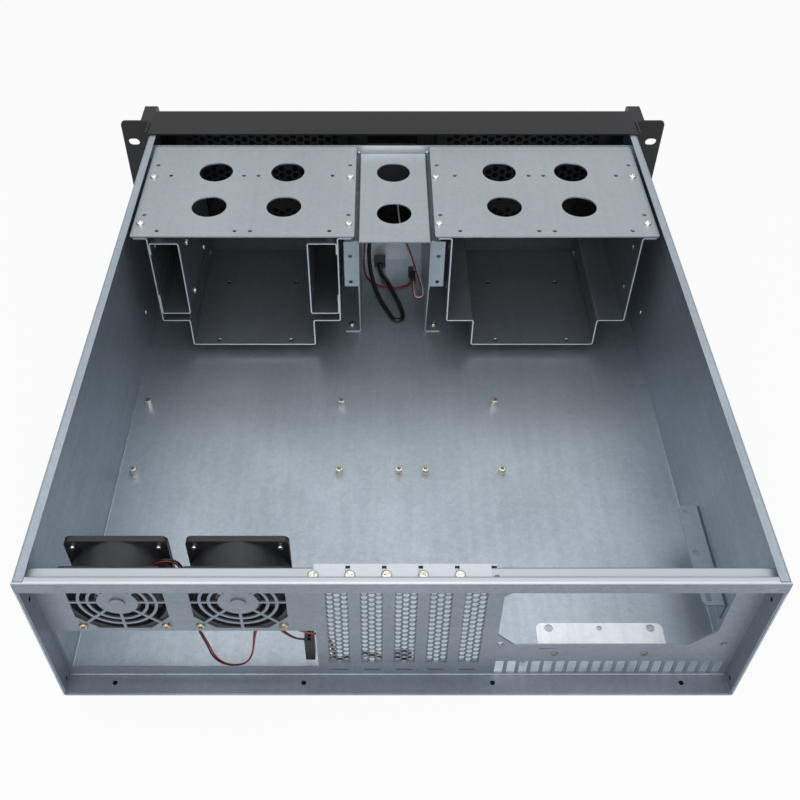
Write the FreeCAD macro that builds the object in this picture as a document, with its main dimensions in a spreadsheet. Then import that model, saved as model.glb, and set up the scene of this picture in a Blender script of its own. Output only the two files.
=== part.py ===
"""Empty 3U rackmount server case: galvanised tub and rear wall, black front panel with ears and handles.

Axes: +X to the right seen from the front, the front faces -Y, +Z up. The origin lies under the middle
of the case, on the plane that it stands on. All sizes are millimetres.
"""
import FreeCAD, Part
import math
import os
import sys

import Sketcher

doc = FreeCAD.newDocument("ServerCase")
sheet = doc.addObject("Spreadsheet::Sheet", "Dims")

# ------------------------------------------------------------------ driving dimensions
DIMENSIONS = [
    # the tub and its sheet
    ("body_width", 426, "tub, outside width"),
    ("body_height", 127.5, "tub, underside to top flange"),
    ("gauge", 1, "galvanised sheet"),
    ("bend", 1, "inside radius of a fold"),
    ("top_flange", 6.5, "width of the tub's inward top flange"),
    ("fit_gap", 0.3, "clearance where one pressed piece sits inside another"),
    # lengths from the rear edge forward
    ("ear_depth", 480, "rear edge to the back of the rack ears"),
    ("face_depth", 497.5, "rear edge to the front face"),
    # black front panel, ears and handles
    ("front_gauge", 1.5, "sheet of the front panel"),
    ("collar", 38.5, "depth of the front panel's folded sides"),
    ("ear_span", 482.6, "width over both rack ears"),
    ("ear_gauge", 2, "sheet of the ears"),
    ("ear_leg", 20, "length of the ear's leg along the case"),
    ("rack_hole_span", 465.1, "rack holes, centre to centre across"),
    ("rack_hole_rise", 88.9, "rack holes, centre to centre up"),
    ("rack_slot_long", 10, "rack hole, length"),
    ("rack_slot_high", 7, "rack hole, height"),
    ("handle_reach", 38.5, "handle, out from the ear"),
    ("handle_width", 11, "handle, across"),
    ("handle_bar", 11, "handle, thickness of its grip"),
    ("handle_margin", 5, "handle, short of the ear's top and bottom"),
    # rear wall
    ("rear_recess", 14, "rear edge to the rear wall"),
    ("shelf_drop", 5.5, "shelf below the top edge"),
    ("shelf_setback", 4.5, "rear edge to the riser behind the shelf"),
    ("lip_height", 9.4, "lip that hangs at the rear edge"),
    ("io_width", 158.75, "connector plate window, width"),
    ("io_height", 44.45, "connector plate window, height"),
    ("io_centre", 130.1, "connector plate window, X of its middle"),
    ("io_floor", 9.7, "connector plate window, above the floor's top"),
    # rear fans
    ("fan_size", 60, "fan, side of its square frame"),
    ("fan_thick", 25, "fan, front to back"),
    ("fan_hole_pitch", 50, "fan, corner holes"),
    ("fan_pitch", 70.6, "between the fans' axes"),
    ("fan_centre", 129.8, "X midway between the fans"),
    ("fan_axis_height", 86.4, "fan axis above the tub's underside"),
    ("fan_bore", 57, "fan, air passage"),
    ("fan_flange", 4, "fan, thickness of a flange"),
    ("hub_size", 27, "fan motor hub"),
    ("guard_window", 56, "finger guard, width of its window"),
    ("guard_bar", 1.8, "finger guard, width of a bar"),
    # expansion slots
    ("slot_pitch", 20.32, "between expansion slots"),
    ("slot_first", 37, "X of the first slot's middle"),
    ("slot_window", 13.4, "slot window, width"),
    ("slot_strip", 18.4, "slot cover, width"),
    ("slot_sill", 15.5, "slot window, above the floor's top"),
    ("slot_screw_side", 11.7, "cover screw beside the slot's middle"),
    ("vent_pitch", 7.35, "hexagonal vents, centre to centre"),
    ("vent_across", 6.5, "hexagonal vent, across its corners"),
    ("vent_rows", 11, "rows of vents in a slot cover"),
    # power supply bay
    ("psu_width", 150, "power supply, width"),
    ("psu_height", 86, "power supply, height"),
    ("psu_depth", 140, "power supply, front to back"),
    ("psu_centre", -131.7, "power supply, X of its middle"),
    ("psu_floor", 34, "power supply's underside above the tub's underside"),
    ("psu_shelf_width", 80, "rear support, width"),
    ("psu_shelf_depth", 17, "rear support, depth"),
    ("psu_rail_length", 81, "side support, length"),
    ("psu_rail_width", 15, "side support, width"),
    # motherboard standoffs
    ("standoff_height", 6.5, "board seat above the floor's top"),
    ("standoff_across", 6, "standoff, across its corners"),
    ("board_edge", 200.2, "X of the first standoff column"),
    # drive cages
    ("cage_centre", 118.5, "middle of a drive cage, each side of the case's middle"),
    ("cage_back", 318, "rear edge to the cages"),
    ("cage_length", 130, "cages, front to back"),
    ("wide_bay", 147, "5.25 inch bay, inside width"),
    ("wide_bay_height", 84, "two 5.25 inch bays, height"),
    ("narrow_bay", 102.6, "3.5 inch bay, inside width"),
    ("narrow_bay_height", 27, "3.5 inch bay, height"),
    ("cage_clear", 9, "cage above the tub's floor"),
    ("cage_flange", 11, "cage, width of its top flanges"),
    ("plate_width", 174, "cage top plate, width"),
    ("plate_hole", 28, "large holes of the top plate"),
    ("adapter_top", 116, "drive adapter, above the tub's underside"),
    ("adapter_height", 71, "drive adapter, height"),
    ("bracket_width", 58, "centre bracket, width"),
    ("bracket_top", 118, "centre bracket, above the tub's underside"),
    ("bracket_length", 126, "centre bracket, front to back"),
    ("small_hole", 3.6, "small screw hole"),
    ("screw_head", 6, "pan head"),
    ("screw_shank", 2.9, "screw shank"),
]


class Size:
    """A length that knows both its number and the spreadsheet formula that it comes from."""

    def __init__(self, text, value):
        self.text = text
        self.value = float(value)

    @staticmethod
    def of(thing):
        return thing if isinstance(thing, Size) else Size("(%s)" % repr(float(thing)), thing)

    def __add__(self, other):
        other = Size.of(other)
        return Size("(%s + %s)" % (self.text, other.text), self.value + other.value)

    def __sub__(self, other):
        other = Size.of(other)
        return Size("(%s - %s)" % (self.text, other.text), self.value - other.value)

    def __mul__(self, factor):
        factor = Size.of(factor)
        return Size("(%s * %s)" % (self.text, factor.text), self.value * factor.value)

    def __truediv__(self, divisor):
        divisor = Size.of(divisor)
        return Size("(%s / %s)" % (self.text, divisor.text), self.value / divisor.value)

    def __neg__(self):
        return Size("(0 - %s)" % self.text, -self.value)

    def __radd__(self, other):
        return Size.of(other) + self

    def __rsub__(self, other):
        return Size.of(other) - self

    def __rmul__(self, other):
        return Size.of(other) * self


dim = {}
for row, (alias, number, meaning) in enumerate(DIMENSIONS, start=1):
    sheet.set("A%d" % row, meaning)
    sheet.set("B%d" % row, str(number))
    sheet.setAlias("B%d" % row, alias)
    dim[alias] = Size("Dims." + alias, number)
doc.recompute()

ZERO = Size.of(0)
gauge = dim["gauge"]
fit_gap = dim["fit_gap"]


# ------------------------------------------------------------------ helpers for sketched pieces
# Each origin plane: its role, the two axes that a sketch on it uses, and which way its normal points.
PLANES = {"XY": ("XY_Plane", 0, 1, 2, 1), "XZ": ("XZ_Plane", 0, 2, 1, -1), "YZ": ("YZ_Plane", 1, 2, 0, 1)}


def new_body(label):
    body = doc.addObject("PartDesign::Body", label)
    body.Label = label
    return body


def new_sketch(body, plane, level):
    """An empty sketch on one of the body's own planes, moved to a level along that plane's axis."""
    role, _, _, _, sign = PLANES[plane]
    sketch = body.newObject("Sketcher::SketchObject", body.Label + "_sketch")
    feature = [item for item in body.Origin.OriginFeatures if item.Role == role][0]
    sketch.AttachmentSupport = (feature, [""])
    sketch.MapMode = "FlatFace"
    shift = level if sign > 0 else -level
    sketch.setExpression("AttachmentOffset.Base.z", shift.text)
    return sketch


def pin(sketch, geometry, end, x, y):
    """Fixes one point of the sketch by its two distances from the sketch's origin."""
    for kind, size in (("DistanceX", Size.of(x)), ("DistanceY", Size.of(y))):
        index = sketch.addConstraint(Sketcher.Constraint(kind, -1, 1, geometry, end, size.value))
        sketch.setExpression("Constraints[%d]" % index, size.text)


def outline(points):
    """A closed outline of straight edges."""

    def draw(sketch):
        first, count = sketch.GeometryCount, len(points)
        corners = [FreeCAD.Vector(Size.of(x).value, Size.of(y).value, 0) for x, y in points]
        for i in range(count):
            sketch.addGeometry(Part.LineSegment(corners[i], corners[(i + 1) % count]), False)
        sketch.addConstraint([
            Sketcher.Constraint("Coincident", first + i, 2, first + (i + 1) % count, 1) for i in range(count)])
        for i, (x, y) in enumerate(points):
            pin(sketch, first + i, 1, x, y)

    return draw


def box(x0, y0, x1, y1):
    return outline([(x0, y0), (x1, y0), (x1, y1), (x0, y1)])


def box_about(x, y, width, height):
    return box(x - width / 2, y - height / 2, x + width / 2, y + height / 2)


def chamfered_box(x0, y0, x1, y1, cut, corners=(1, 1, 1, 1)):
    """A rectangle with its corners cut at 45 degrees; corners run counter-clockwise from the lower left."""
    points = []
    for (x, y), (sx, sy), on in zip(
            [(x0, y0), (x1, y0), (x1, y1), (x0, y1)], [(1, 1), (-1, 1), (-1, -1), (1, -1)], corners):
        if not on:
            points.append((x, y))
            continue
        along_x = (x + cut * sx, y)
        along_y = (x, y + cut * sy)
        points += [along_y, along_x] if sx * sy > 0 else [along_x, along_y]
    return outline(points)


def circle(x, y, radius):
    def draw(sketch):
        x_, y_, radius_ = Size.of(x), Size.of(y), Size.of(radius)
        geometry = sketch.addGeometry(
            Part.Circle(FreeCAD.Vector(x_.value, y_.value, 0), FreeCAD.Vector(0, 0, 1), radius_.value), False)
        pin(sketch, geometry, 3, x_, y_)
        index = sketch.addConstraint(Sketcher.Constraint("Radius", geometry, radius_.value))
        sketch.setExpression("Constraints[%d]" % index, radius_.text)

    return draw


def ring_of_corners(x, y, across, count, turn=0.0):
    """A regular polygon given by its width across corners. Small holes and heads use six or eight sides."""
    points = []
    for i in range(count):
        angle = math.radians(turn + 360.0 * i / count)
        points.append((x + across / 2 * math.cos(angle), y + across / 2 * math.sin(angle)))
    return outline(points)


def hole(x, y, across=None):
    return ring_of_corners(x, y, across if across is not None else dim["small_hole"], 6)


def slot(x, y, length, height):
    """A hole with round ends, its long way along the sketch's first axis."""

    def draw(sketch):
        reach = (length - height) / 2
        radius = height / 2
        first = sketch.GeometryCount
        x_, y_ = Size.of(x), Size.of(y)
        vector = lambda a, b: FreeCAD.Vector(a.value, b.value, 0)
        right, left = x_ + reach, x_ - reach
        sketch.addGeometry([
            Part.LineSegment(vector(left, y_ - radius), vector(right, y_ - radius)),
            Part.ArcOfCircle(Part.Circle(vector(right, y_), FreeCAD.Vector(0, 0, 1), radius.value),
                             -math.pi / 2, math.pi / 2),
            Part.LineSegment(vector(right, y_ + radius), vector(left, y_ + radius)),
            Part.ArcOfCircle(Part.Circle(vector(left, y_), FreeCAD.Vector(0, 0, 1), radius.value),
                             math.pi / 2, 3 * math.pi / 2)], False)
        sketch.addConstraint([
            Sketcher.Constraint("Coincident", first, 2, first + 1, 1),
            Sketcher.Constraint("Coincident", first + 1, 2, first + 2, 1),
            Sketcher.Constraint("Coincident", first + 2, 2, first + 3, 1),
            Sketcher.Constraint("Coincident", first + 3, 2, first, 1)])
        pin(sketch, first, 1, left, y_ - radius)
        pin(sketch, first, 2, right, y_ - radius)
        pin(sketch, first + 2, 1, right, y_ + radius)
        pin(sketch, first + 2, 2, left, y_ + radius)
        for arc, middle in ((first + 1, right), (first + 3, left)):
            index = sketch.addConstraint(Sketcher.Constraint("DistanceX", -1, 1, arc, 3, middle.value))
            sketch.setExpression("Constraints[%d]" % index, middle.text)

    return draw


def pad(body, plane, shapes, start, end):
    """Adds what the outlines enclose, from start up to end along the plane's axis."""
    return grow(body, "PartDesign::Pad", plane, shapes, start, end)


def cut(body, plane, shapes, start, end):
    """Takes away what the outlines enclose, from start up to end along the plane's axis."""
    return grow(body, "PartDesign::Pocket", plane, shapes, start, end)


def grow(body, kind, plane, shapes, start, end):
    sign = PLANES[plane][4]
    sketch = new_sketch(body, plane, Size.of(start) if sign > 0 else Size.of(end))
    for shape in shapes:
        shape(sketch)
    feature = body.newObject(kind, body.Label + kind.split("::")[1].lower())
    feature.Profile = sketch
    feature.setExpression("Length", (Size.of(end) - Size.of(start)).text)
    feature.Reversed = kind == "PartDesign::Pocket"
    sketch.Visibility = False
    doc.recompute()
    return feature


def repeat(body, feature, axis, pitch, count):
    """Repeats a feature along one axis of its sketch."""
    pattern = body.newObject("PartDesign::LinearPattern", body.Label + "_row")
    pattern.Originals = [feature]
    pattern.Direction = (feature.Profile[0], [axis])
    pattern.setExpression("Length", (Size.of(pitch) * (Size.of(count) - 1)).text)
    pattern.setExpression("Occurrences", Size.of(count).text)
    body.Tip = pattern
    doc.recompute()
    return pattern


def round_edges(body, plane, corners, radius):
    """Rounds the edges that run along the plane's axis through the given corners."""
    _, first, second, along, _ = PLANES[plane]
    solid = body.Tip
    names = []
    for number, edge in enumerate(solid.Shape.Edges, start=1):
        start, end = edge.Vertexes[0].Point, edge.Vertexes[-1].Point
        if edge.Curve.TypeId != "Part::GeomLine" or abs(start[along] - end[along]) < 0.5 * edge.Length:
            continue
        for x, y in corners:
            near = abs(start[first] - Size.of(x).value) < 0.01 and abs(start[second] - Size.of(y).value) < 0.01
            if near and abs(end[first] - start[first]) < 0.01 and abs(end[second] - start[second]) < 0.01:
                names.append("Edge%d" % number)
                break
    fillet = body.newObject("PartDesign::Fillet", body.Label + "_rounds")
    fillet.Base = (solid, names)
    fillet.setExpression("Radius", Size.of(radius).text)
    doc.recompute()
    return fillet


def sheet_profile(path, thickness):
    """The two sides of a folded sheet whose one side follows a path of square turns.

    The thickness lies to the left of the path. Returns the outline and the corners of both sides.
    """

    def heading(a, b):
        dx, dy = b[0].value - a[0].value, b[1].value - a[1].value
        return (0, 1 if dy > 0 else -1) if abs(dy) > abs(dx) else (1 if dx > 0 else -1, 0)

    path = [(Size.of(x), Size.of(y)) for x, y in path]
    other = []
    for i, (x, y) in enumerate(path):
        headings = []
        if i > 0:
            headings.append(heading(path[i - 1], path[i]))
        if i < len(path) - 1:
            headings.append(heading(path[i], path[i + 1]))
        left = {(-dy, dx) for dx, dy in headings}
        for nx, ny in left:
            x, y = x + thickness * nx, y + thickness * ny
        other.append((x, y))
    return path + other[::-1], path[1:-1], other[1:-1]


def folded(body, plane, path, thickness, start, end, bend=None):
    """A folded sheet: its square-turned section is padded and every fold is rounded."""
    points, near_side, far_side = sheet_profile(path, thickness)
    pad(body, plane, [outline(points)], start, end)
    inner_radius = bend if bend is not None else dim["bend"]
    inner, outer = [], []
    for i, (a, b) in enumerate(zip(near_side, far_side), start=1):
        before, corner, after = path[i - 1], path[i], path[i + 1]
        values = [(Size.of(p[0]).value, Size.of(p[1]).value) for p in (before, corner, after)]
        turn = ((values[1][0] - values[0][0]) * (values[2][1] - values[1][1])
                - (values[1][1] - values[0][1]) * (values[2][0] - values[1][0]))
        inner.append(b if turn > 0 else a)
        outer.append(a if turn > 0 else b)
    round_edges(body, plane, inner, inner_radius)
    round_edges(body, plane, outer, inner_radius + thickness)
    return body


def copy_of(source, label, dx):
    """A second identical piece, moved along X."""
    twin = doc.addObject("Part::Feature", label)
    twin.Label = label
    twin.Shape = source.Shape.copy()
    twin.setExpression("Placement.Base.x", (Size.of(source.Placement.Base.x) + dx).text)
    doc.recompute()
    return twin


def mirrored(source, label):
    """The opposite-hand piece on the other side of the case's middle plane."""
    twin = doc.addObject("Part::Mirroring", label)
    twin.Label = label
    twin.Source = source
    twin.Normal = FreeCAD.Vector(1, 0, 0)
    doc.recompute()
    return twin


def group_of(label, shapes):
    """Separate solids that share one name, such as a set of screws."""
    item = doc.addObject("Part::Feature", label)
    item.Label = label
    item.Shape = Part.makeCompound(shapes)
    doc.recompute()
    return item


# ------------------------------------------------------------------ shared places
rear = (dim["ear_depth"] + dim["ear_gauge"] + dim["handle_reach"]) / 2  # Y of the rear edge
base = dim["front_gauge"]                       # underside of the tub: the front panel's sheet is below it
floor_top = base + gauge
tub_top = base + dim["body_height"]
half = dim["body_width"] / 2
inside = half - gauge
bend = dim["bend"]
small = dim["small_hole"]


def at(depth):
    """Y of a depth measured forward from the rear edge."""
    return rear - depth


wall_y = at(dim["rear_recess"])                 # rear face of the rear wall
wall_inner = wall_y - gauge
shelf_top = tub_top - dim["shelf_drop"]
lip_bottom = tub_top - dim["lip_height"]
face_y = at(dim["face_depth"])                  # front face of the front panel
face_inner = face_y + dim["front_gauge"]
ear_front = at(dim["ear_depth"] + dim["ear_gauge"])
panel_top = tub_top + dim["front_gauge"]
cage_rear = at(dim["cage_back"])
cage_front = cage_rear - dim["cage_length"]
pieces = []


def keep(piece):
    pieces.append(piece)
    return piece


# ------------------------------------------------------------------ base tub
# Floor, side walls and inward top flanges folded from one sheet, open at both ends.
tub = keep(new_body("base_tub"))
folded(tub, "XZ",
       [(-(half - dim["top_flange"]), tub_top), (-half, tub_top), (-half, base), (half, base),
        (half, tub_top), (half - dim["top_flange"], tub_top)],
       gauge, face_inner, at(ZERO))
# The rear ends of the walls are notched for the rear wall's lip, which spans the full width.
cut(tub, "YZ", [box(at(gauge + fit_gap), lip_bottom - fit_gap, at(-1), tub_top + 1)], -half - 1, half + 1)
# Screw holes for the rear wall's flanges, under the floor and through the side walls.
flange_mid = at(dim["rear_recess"] / 2 + 0.7)
floor_screws = [-(half - 31.5), Size.of(-60.5), Size.of(60.5), half - 31.5]
wall_screws = [base + 8.5, base + 100]
cut(tub, "XY", [hole(x, flange_mid) for x in floor_screws], base - 1, floor_top + 1)
cut(tub, "YZ", [hole(flange_mid, z) for z in wall_screws], -half - 1, half + 1)

# ------------------------------------------------------------------ rear wall
# Folded from one sheet: bottom and side flanges point rearward, the top turns rearward into a shelf,
# rises to the level of the tub's flanges and ends in a lip.
wall = keep(new_body("rear_wall"))
folded(wall, "YZ",
       [(at(0.5), floor_top + gauge), (wall_y, floor_top + gauge), (wall_y, shelf_top - gauge),
        (at(dim["shelf_setback"]), shelf_top - gauge), (at(dim["shelf_setback"]), tub_top - gauge),
        (at(gauge), tub_top - gauge), (at(gauge), lip_bottom)],
       gauge, -half, half)
for side in (-1, 1):
    flange_edge = sorted([inside * side, (half + 1) * side], key=lambda size: size.value)
    corner_edge = sorted([(inside - bend - fit_gap) * side, (half + 1) * side], key=lambda size: size.value)
    top_edge = sorted([(half - dim["top_flange"] - fit_gap) * side, (half + 1) * side],
                      key=lambda size: size.value)
    # Only the lip reaches over the ends of the tub's walls; the corners clear the tub's folds.
    cut(wall, "XZ", [box(flange_edge[0], base - 1, flange_edge[1], tub_top + 1)],
        wall_inner - 1, at(gauge))
    cut(wall, "XZ", [box(corner_edge[0], base - 1, corner_edge[1], floor_top + bend + fit_gap)],
        wall_inner - 1, at(-1))
    cut(wall, "XZ", [box(top_edge[0], tub_top - gauge - bend - fit_gap, top_edge[1], tub_top + 1)],
        wall_inner - 1, at(gauge))
    leaf = sorted([(inside - gauge) * side, inside * side], key=lambda size: size.value)
    pad(wall, "XZ", [box(leaf[0], floor_top + bend + 1, leaf[1], lip_bottom - 1)], wall_inner, at(0.5))
cut(wall, "XY", [hole(x, flange_mid) for x in floor_screws], floor_top - 1, floor_top + 2)
cut(wall, "YZ", [hole(flange_mid, z) for z in wall_screws], -half - 1, half + 1)

# The window for the motherboard's connector plate.
io_left = dim["io_centre"] - dim["io_width"] / 2
io_bottom = floor_top + dim["io_floor"]
cut(wall, "XZ", [box(io_left, io_bottom, io_left + dim["io_width"], io_bottom + dim["io_height"])],
    wall_inner - 1, wall_y + 1)

# Two finger guards: a window with cut corners, crossed by spokes, two rings and a hub disc.
fan_x = [dim["fan_centre"] - dim["fan_pitch"] / 2, dim["fan_centre"] + dim["fan_pitch"] / 2]
fan_z = base + dim["fan_axis_height"]
window = dim["guard_window"]
bar = dim["guard_bar"]
screw_off = dim["fan_hole_pitch"] / 2
for x in fan_x:
    cut(wall, "XZ", [chamfered_box(x - window / 2, fan_z - window / 2, x + window / 2, fan_z + window / 2,
                                   window * 0.22)], wall_inner - 1, wall_y + 1)
    pad(wall, "XZ", [box_about(x, fan_z, window + 1, bar)], wall_inner, wall_y)
    pad(wall, "XZ", [box_about(x, fan_z, bar, window + 1)], wall_inner, wall_y)
    for sx, sy in ((1, 1), (1, -1)):
        reach = window * 0.41
        wide = bar * 0.7071
        ends = [(x - reach * sx - wide / 2, fan_z - reach * sy + wide / 2 * sy * sx),
                (x - reach * sx + wide / 2, fan_z - reach * sy - wide / 2 * sy * sx),
                (x + reach * sx + wide / 2, fan_z + reach * sy - wide / 2 * sy * sx),
                (x + reach * sx - wide / 2, fan_z + reach * sy + wide / 2 * sy * sx)]
        pad(wall, "XZ", [outline(ends)], wall_inner, wall_y)
    rings = []
    for middle in (window * 0.31, window * 0.405):
        rings += [circle(x, fan_z, middle + bar / 2), circle(x, fan_z, middle - bar / 2)]
    pad(wall, "XZ", rings + [circle(x, fan_z, window * 0.214)], wall_inner, wall_y)
    pad(wall, "XZ", [circle(x, fan_z, window * 0.08)], wall_y, wall_y + 1)
    cut(wall, "XZ", [hole(x + screw_off * sx, fan_z + screw_off * sy, 4.4)
                     for sx in (-1, 1) for sy in (-1, 1)], wall_inner - 1, wall_y + 1)

# Expansion slots: tall windows, the slits that the covers' tongues show in, and screw holes in the shelf.
slot_low = floor_top + dim["slot_sill"]
slot_high = shelf_top - 13
last_slot = dim["slot_first"] - dim["slot_pitch"] * 4
tongue_low = floor_top + 3.5
windows = cut(wall, "XZ", [box_about(last_slot, (slot_low + slot_high) / 2, dim["slot_window"], slot_high - slot_low),
                           box_about(last_slot, tongue_low + 3.3, 15, 1.6)], wall_inner - 1, wall_y + 1)
repeat(wall, windows, "H_Axis", dim["slot_pitch"], 5)
screw_row = at(7.8)
holes = cut(wall, "XY", [hole(last_slot + dim["slot_screw_side"], screw_row)], shelf_top - gauge - 1, shelf_top + 1)
repeat(wall, holes, "H_Axis", dim["slot_pitch"], 5)
cut(wall, "XY", [hole(last_slot - dim["slot_pitch"] * 0.43, screw_row)], shelf_top - gauge - 1, shelf_top + 1)

# Power supply window with cut corners, its four screw holes, the vents below it and two shelf screws.
psu_x = dim["psu_centre"]
psu_low = base + dim["psu_floor"]
psu_half = dim["psu_width"] / 2
cut_right, cut_left = psu_x + psu_half - 3.8, psu_x - psu_half + 12.8
cut_low, cut_high = psu_low + 4.3, psu_low + dim["psu_height"] - 12
cut(wall, "XZ", [outline([(cut_left + 14.7, cut_low), (cut_right - 10.7, cut_low), (cut_right, cut_low + 11.7),
                          (cut_right, cut_high - 16), (cut_right - 16, cut_high), (cut_left + 12, cut_high),
                          (cut_left, cut_high - 12), (cut_left, cut_low + 15.8)])], wall_inner - 1, wall_y + 1)
psu_holes = [(psu_x + psu_half - 6, psu_low + 6), (psu_x - psu_half + 6, psu_low + 6),
             (psu_x + psu_half - 6, psu_low + dim["psu_height"] - 16),
             (psu_x - psu_half + 30, psu_low + dim["psu_height"] - 6)]
cut(wall, "XZ", [circle(x, z, 2.1) for x, z in psu_holes], wall_inner - 1, wall_y + 1)
psu_shelf_screws = [psu_x - 22.4, psu_x + 33.9]
cut(wall, "XZ", [hole(x, psu_low - 6.5) for x in psu_shelf_screws], wall_inner - 1, wall_y + 1)
vents = cut(wall, "XZ", [box_about(psu_x - 72.2, floor_top + 10, 5.5, 15)], wall_inner - 1, wall_y + 1)
repeat(wall, vents, "H_Axis", 7.75, 19)

# ------------------------------------------------------------------ expansion slot covers
# A strip behind each window with staggered hexagonal vents, a tongue below and a tab over the shelf.
cover = keep(new_body("slot_cover_1"))
first_slot = dim["slot_first"]
strip_low = tongue_low + 6
strip_half = dim["slot_strip"] / 2
tab_side = first_slot + dim["slot_screw_side"]
folded(cover, "YZ", [(wall_inner, tongue_low), (wall_inner, shelf_top), (at(6.5), shelf_top)],
       gauge, first_slot - strip_half, tab_side)
cut(cover, "XZ", [box(first_slot + strip_half, tongue_low - 1, tab_side + 1, shelf_top - 1.5)],
    wall_inner - gauge - 1, wall_inner + 1)
cut(cover, "XZ", [box(first_slot - strip_half - 1, tongue_low - 1, first_slot - 5.1, strip_low),
                  box(first_slot + 5.1, tongue_low - 1, first_slot + strip_half + 1, strip_low)],
    wall_inner - gauge - 1, wall_inner + 1)
cut(cover, "XY", [box(first_slot - strip_half - 1, wall_inner - gauge - 1, first_slot - 6, at(5))],
    shelf_top - 1.5, shelf_top + gauge + 1)
cut(cover, "XY", [hole(tab_side, screw_row, 4.4)], shelf_top - 1, shelf_top + gauge + 1)
column = dim["vent_pitch"] * 0.866
vent_low = slot_low + 3
vent_set = cut(cover, "XZ", [hole(first_slot - column / 2, vent_low + dim["vent_pitch"] / 2, dim["vent_across"]),
                             hole(first_slot + column / 2, vent_low, dim["vent_across"])],
               wall_inner - gauge - 1, wall_inner + 1)
repeat(cover, vent_set, "V_Axis", dim["vent_pitch"], dim["vent_rows"])
for number in range(2, 6):
    keep(copy_of(cover, "slot_cover_%d" % number, dim["slot_pitch"] * -(number - 1)))

# ------------------------------------------------------------------ rear fans
# Square frame: two flanges joined by a barrel, a motor plate on four struts at the rear.
fan_half = dim["fan_size"] / 2
bore = dim["fan_bore"] / 2
hub = dim["hub_size"] / 2
fan_front = wall_inner - dim["fan_thick"]


def fan_frame(label, x):
    frame = keep(new_body(label))
    pad(frame, "XZ", [chamfered_box(x - fan_half, fan_z - fan_half, x + fan_half, fan_z + fan_half, 2.5),
                      circle(x, fan_z, bore)], fan_front, wall_inner)
    reach = fan_half + 1
    cut(frame, "XZ", [box(x - reach, fan_z - reach, x + reach, fan_z + reach), circle(x, fan_z, bore + 1.2)],
        fan_front + dim["fan_flange"], wall_inner - dim["fan_flange"])
    pad(frame, "XZ", [box_about(x, fan_z, bore * 2 + 1, 4)], wall_inner - 2.5, wall_inner - 0.5)
    pad(frame, "XZ", [box_about(x, fan_z, 4, bore * 2 + 1)], wall_inner - 2.5, wall_inner - 0.5)
    pad(frame, "XZ", [circle(x, fan_z, hub)], wall_inner - 3, wall_inner - 0.5)
    cut(frame, "XZ", [hole(x + screw_off * sx, fan_z + screw_off * sy, 4.4)
                      for sx in (-1, 1) for sy in (-1, 1)], fan_front - 1, wall_inner + 1)
    return frame


fan_frame("fan_frame_left", fan_x[0])
fan_frame("fan_frame_right", fan_x[1])

# Impeller about its own axis: a turned hub cap and seven pitched blades lofted from root to tip.
rotor = keep(new_body("fan_rotor_left"))
rotor_deep = dim["fan_thick"] - 5
turned = new_sketch(rotor, "YZ", ZERO)
outline([(0, 0), (0, hub), (2 - rotor_deep, hub), (0 - rotor_deep, hub - 2), (0 - rotor_deep, 0)])(turned)
spin = rotor.newObject("PartDesign::Revolution", "rotor_hub")
spin.Profile = turned
spin.ReferenceAxis = (turned, ["H_Axis"])
spin.Angle = 360
turned.Visibility = False
doc.recompute()
blades = []
for level, chord, lean, thick in ((hub - 1, 15, 8, 1.6), (bore + 1.5, 15, 14.5, 1.0)):
    blades.append(new_sketch(rotor, "YZ", level))
    back, front = -(rotor_deep - chord) / 2, -(rotor_deep + chord) / 2
    middle, side = (back + front) / 2, Size.of(lean) / 2
    outline([(back, side), (back, side - thick), (middle, -1.2 - Size.of(thick)), (front, -side - thick),
             (front, -side), (middle, ZERO - 1.2)])(blades[-1])
loft = rotor.newObject("PartDesign::AdditiveLoft", "rotor_blade")
loft.Profile = blades[0]
loft.Sections = [blades[1]]
loft.Ruled = True
doc.recompute()
around = rotor.newObject("PartDesign::PolarPattern", "rotor_blades")
around.Originals = [loft]
around.Axis = ([item for item in rotor.Origin.OriginFeatures if item.Role == "Y_Axis"][0], [""])
around.Angle = 360
around.Occurrences = 7
rotor.Tip = around
doc.recompute()
# Trimmed to the fan's passage with its running clearance.
cut(rotor, "XZ", [circle(0, 0, bore + 12), circle(0, 0, bore - 0.8)], -rotor_deep - 1, 1)
rotor_y = wall_inner - 3.5
rotor.setExpression("Placement.Base.x", fan_x[0].text)
rotor.setExpression("Placement.Base.y", rotor_y.text)
rotor.setExpression("Placement.Base.z", fan_z.text)
doc.recompute()
rotor_twin = keep(doc.addObject("Part::Feature", "fan_rotor_right"))
rotor_twin.Label = "fan_rotor_right"
rotor_twin.Shape = rotor.Tip.Shape.copy()
rotor_twin.setExpression("Placement.Base.x", fan_x[1].text)
rotor_twin.setExpression("Placement.Base.y", rotor_y.text)
rotor_twin.setExpression("Placement.Base.z", fan_z.text)

# ------------------------------------------------------------------ power supply supports
# An angle behind the rear wall and one along the side wall carry the power supply.
shelf = keep(new_body("psu_bracket"))
shelf_left = psu_x - 35.3
shelf_right = shelf_left + dim["psu_shelf_width"]
folded(shelf, "YZ", [(wall_inner, psu_low - 12), (wall_inner, psu_low),
                     (wall_inner - dim["psu_shelf_depth"], psu_low)], gauge, shelf_left, shelf_right)
round_edges(shelf, "XY", [(shelf_left, wall_inner - dim["psu_shelf_depth"]),
                          (shelf_right, wall_inner - dim["psu_shelf_depth"])], 4)
shelf_hole_y = wall_inner - 13.3
cut(shelf, "XY", [hole(shelf_left + 7.7, shelf_hole_y, 5.4), hole(shelf_right - 8, shelf_hole_y, 5.4),
                  hole((shelf_left + shelf_right) / 2, shelf_hole_y)], psu_low - 2, psu_low + 1)
cut(shelf, "XZ", [hole(x, psu_low - 6.5) for x in psu_shelf_screws], wall_inner - 2, wall_inner + 1)

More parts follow.
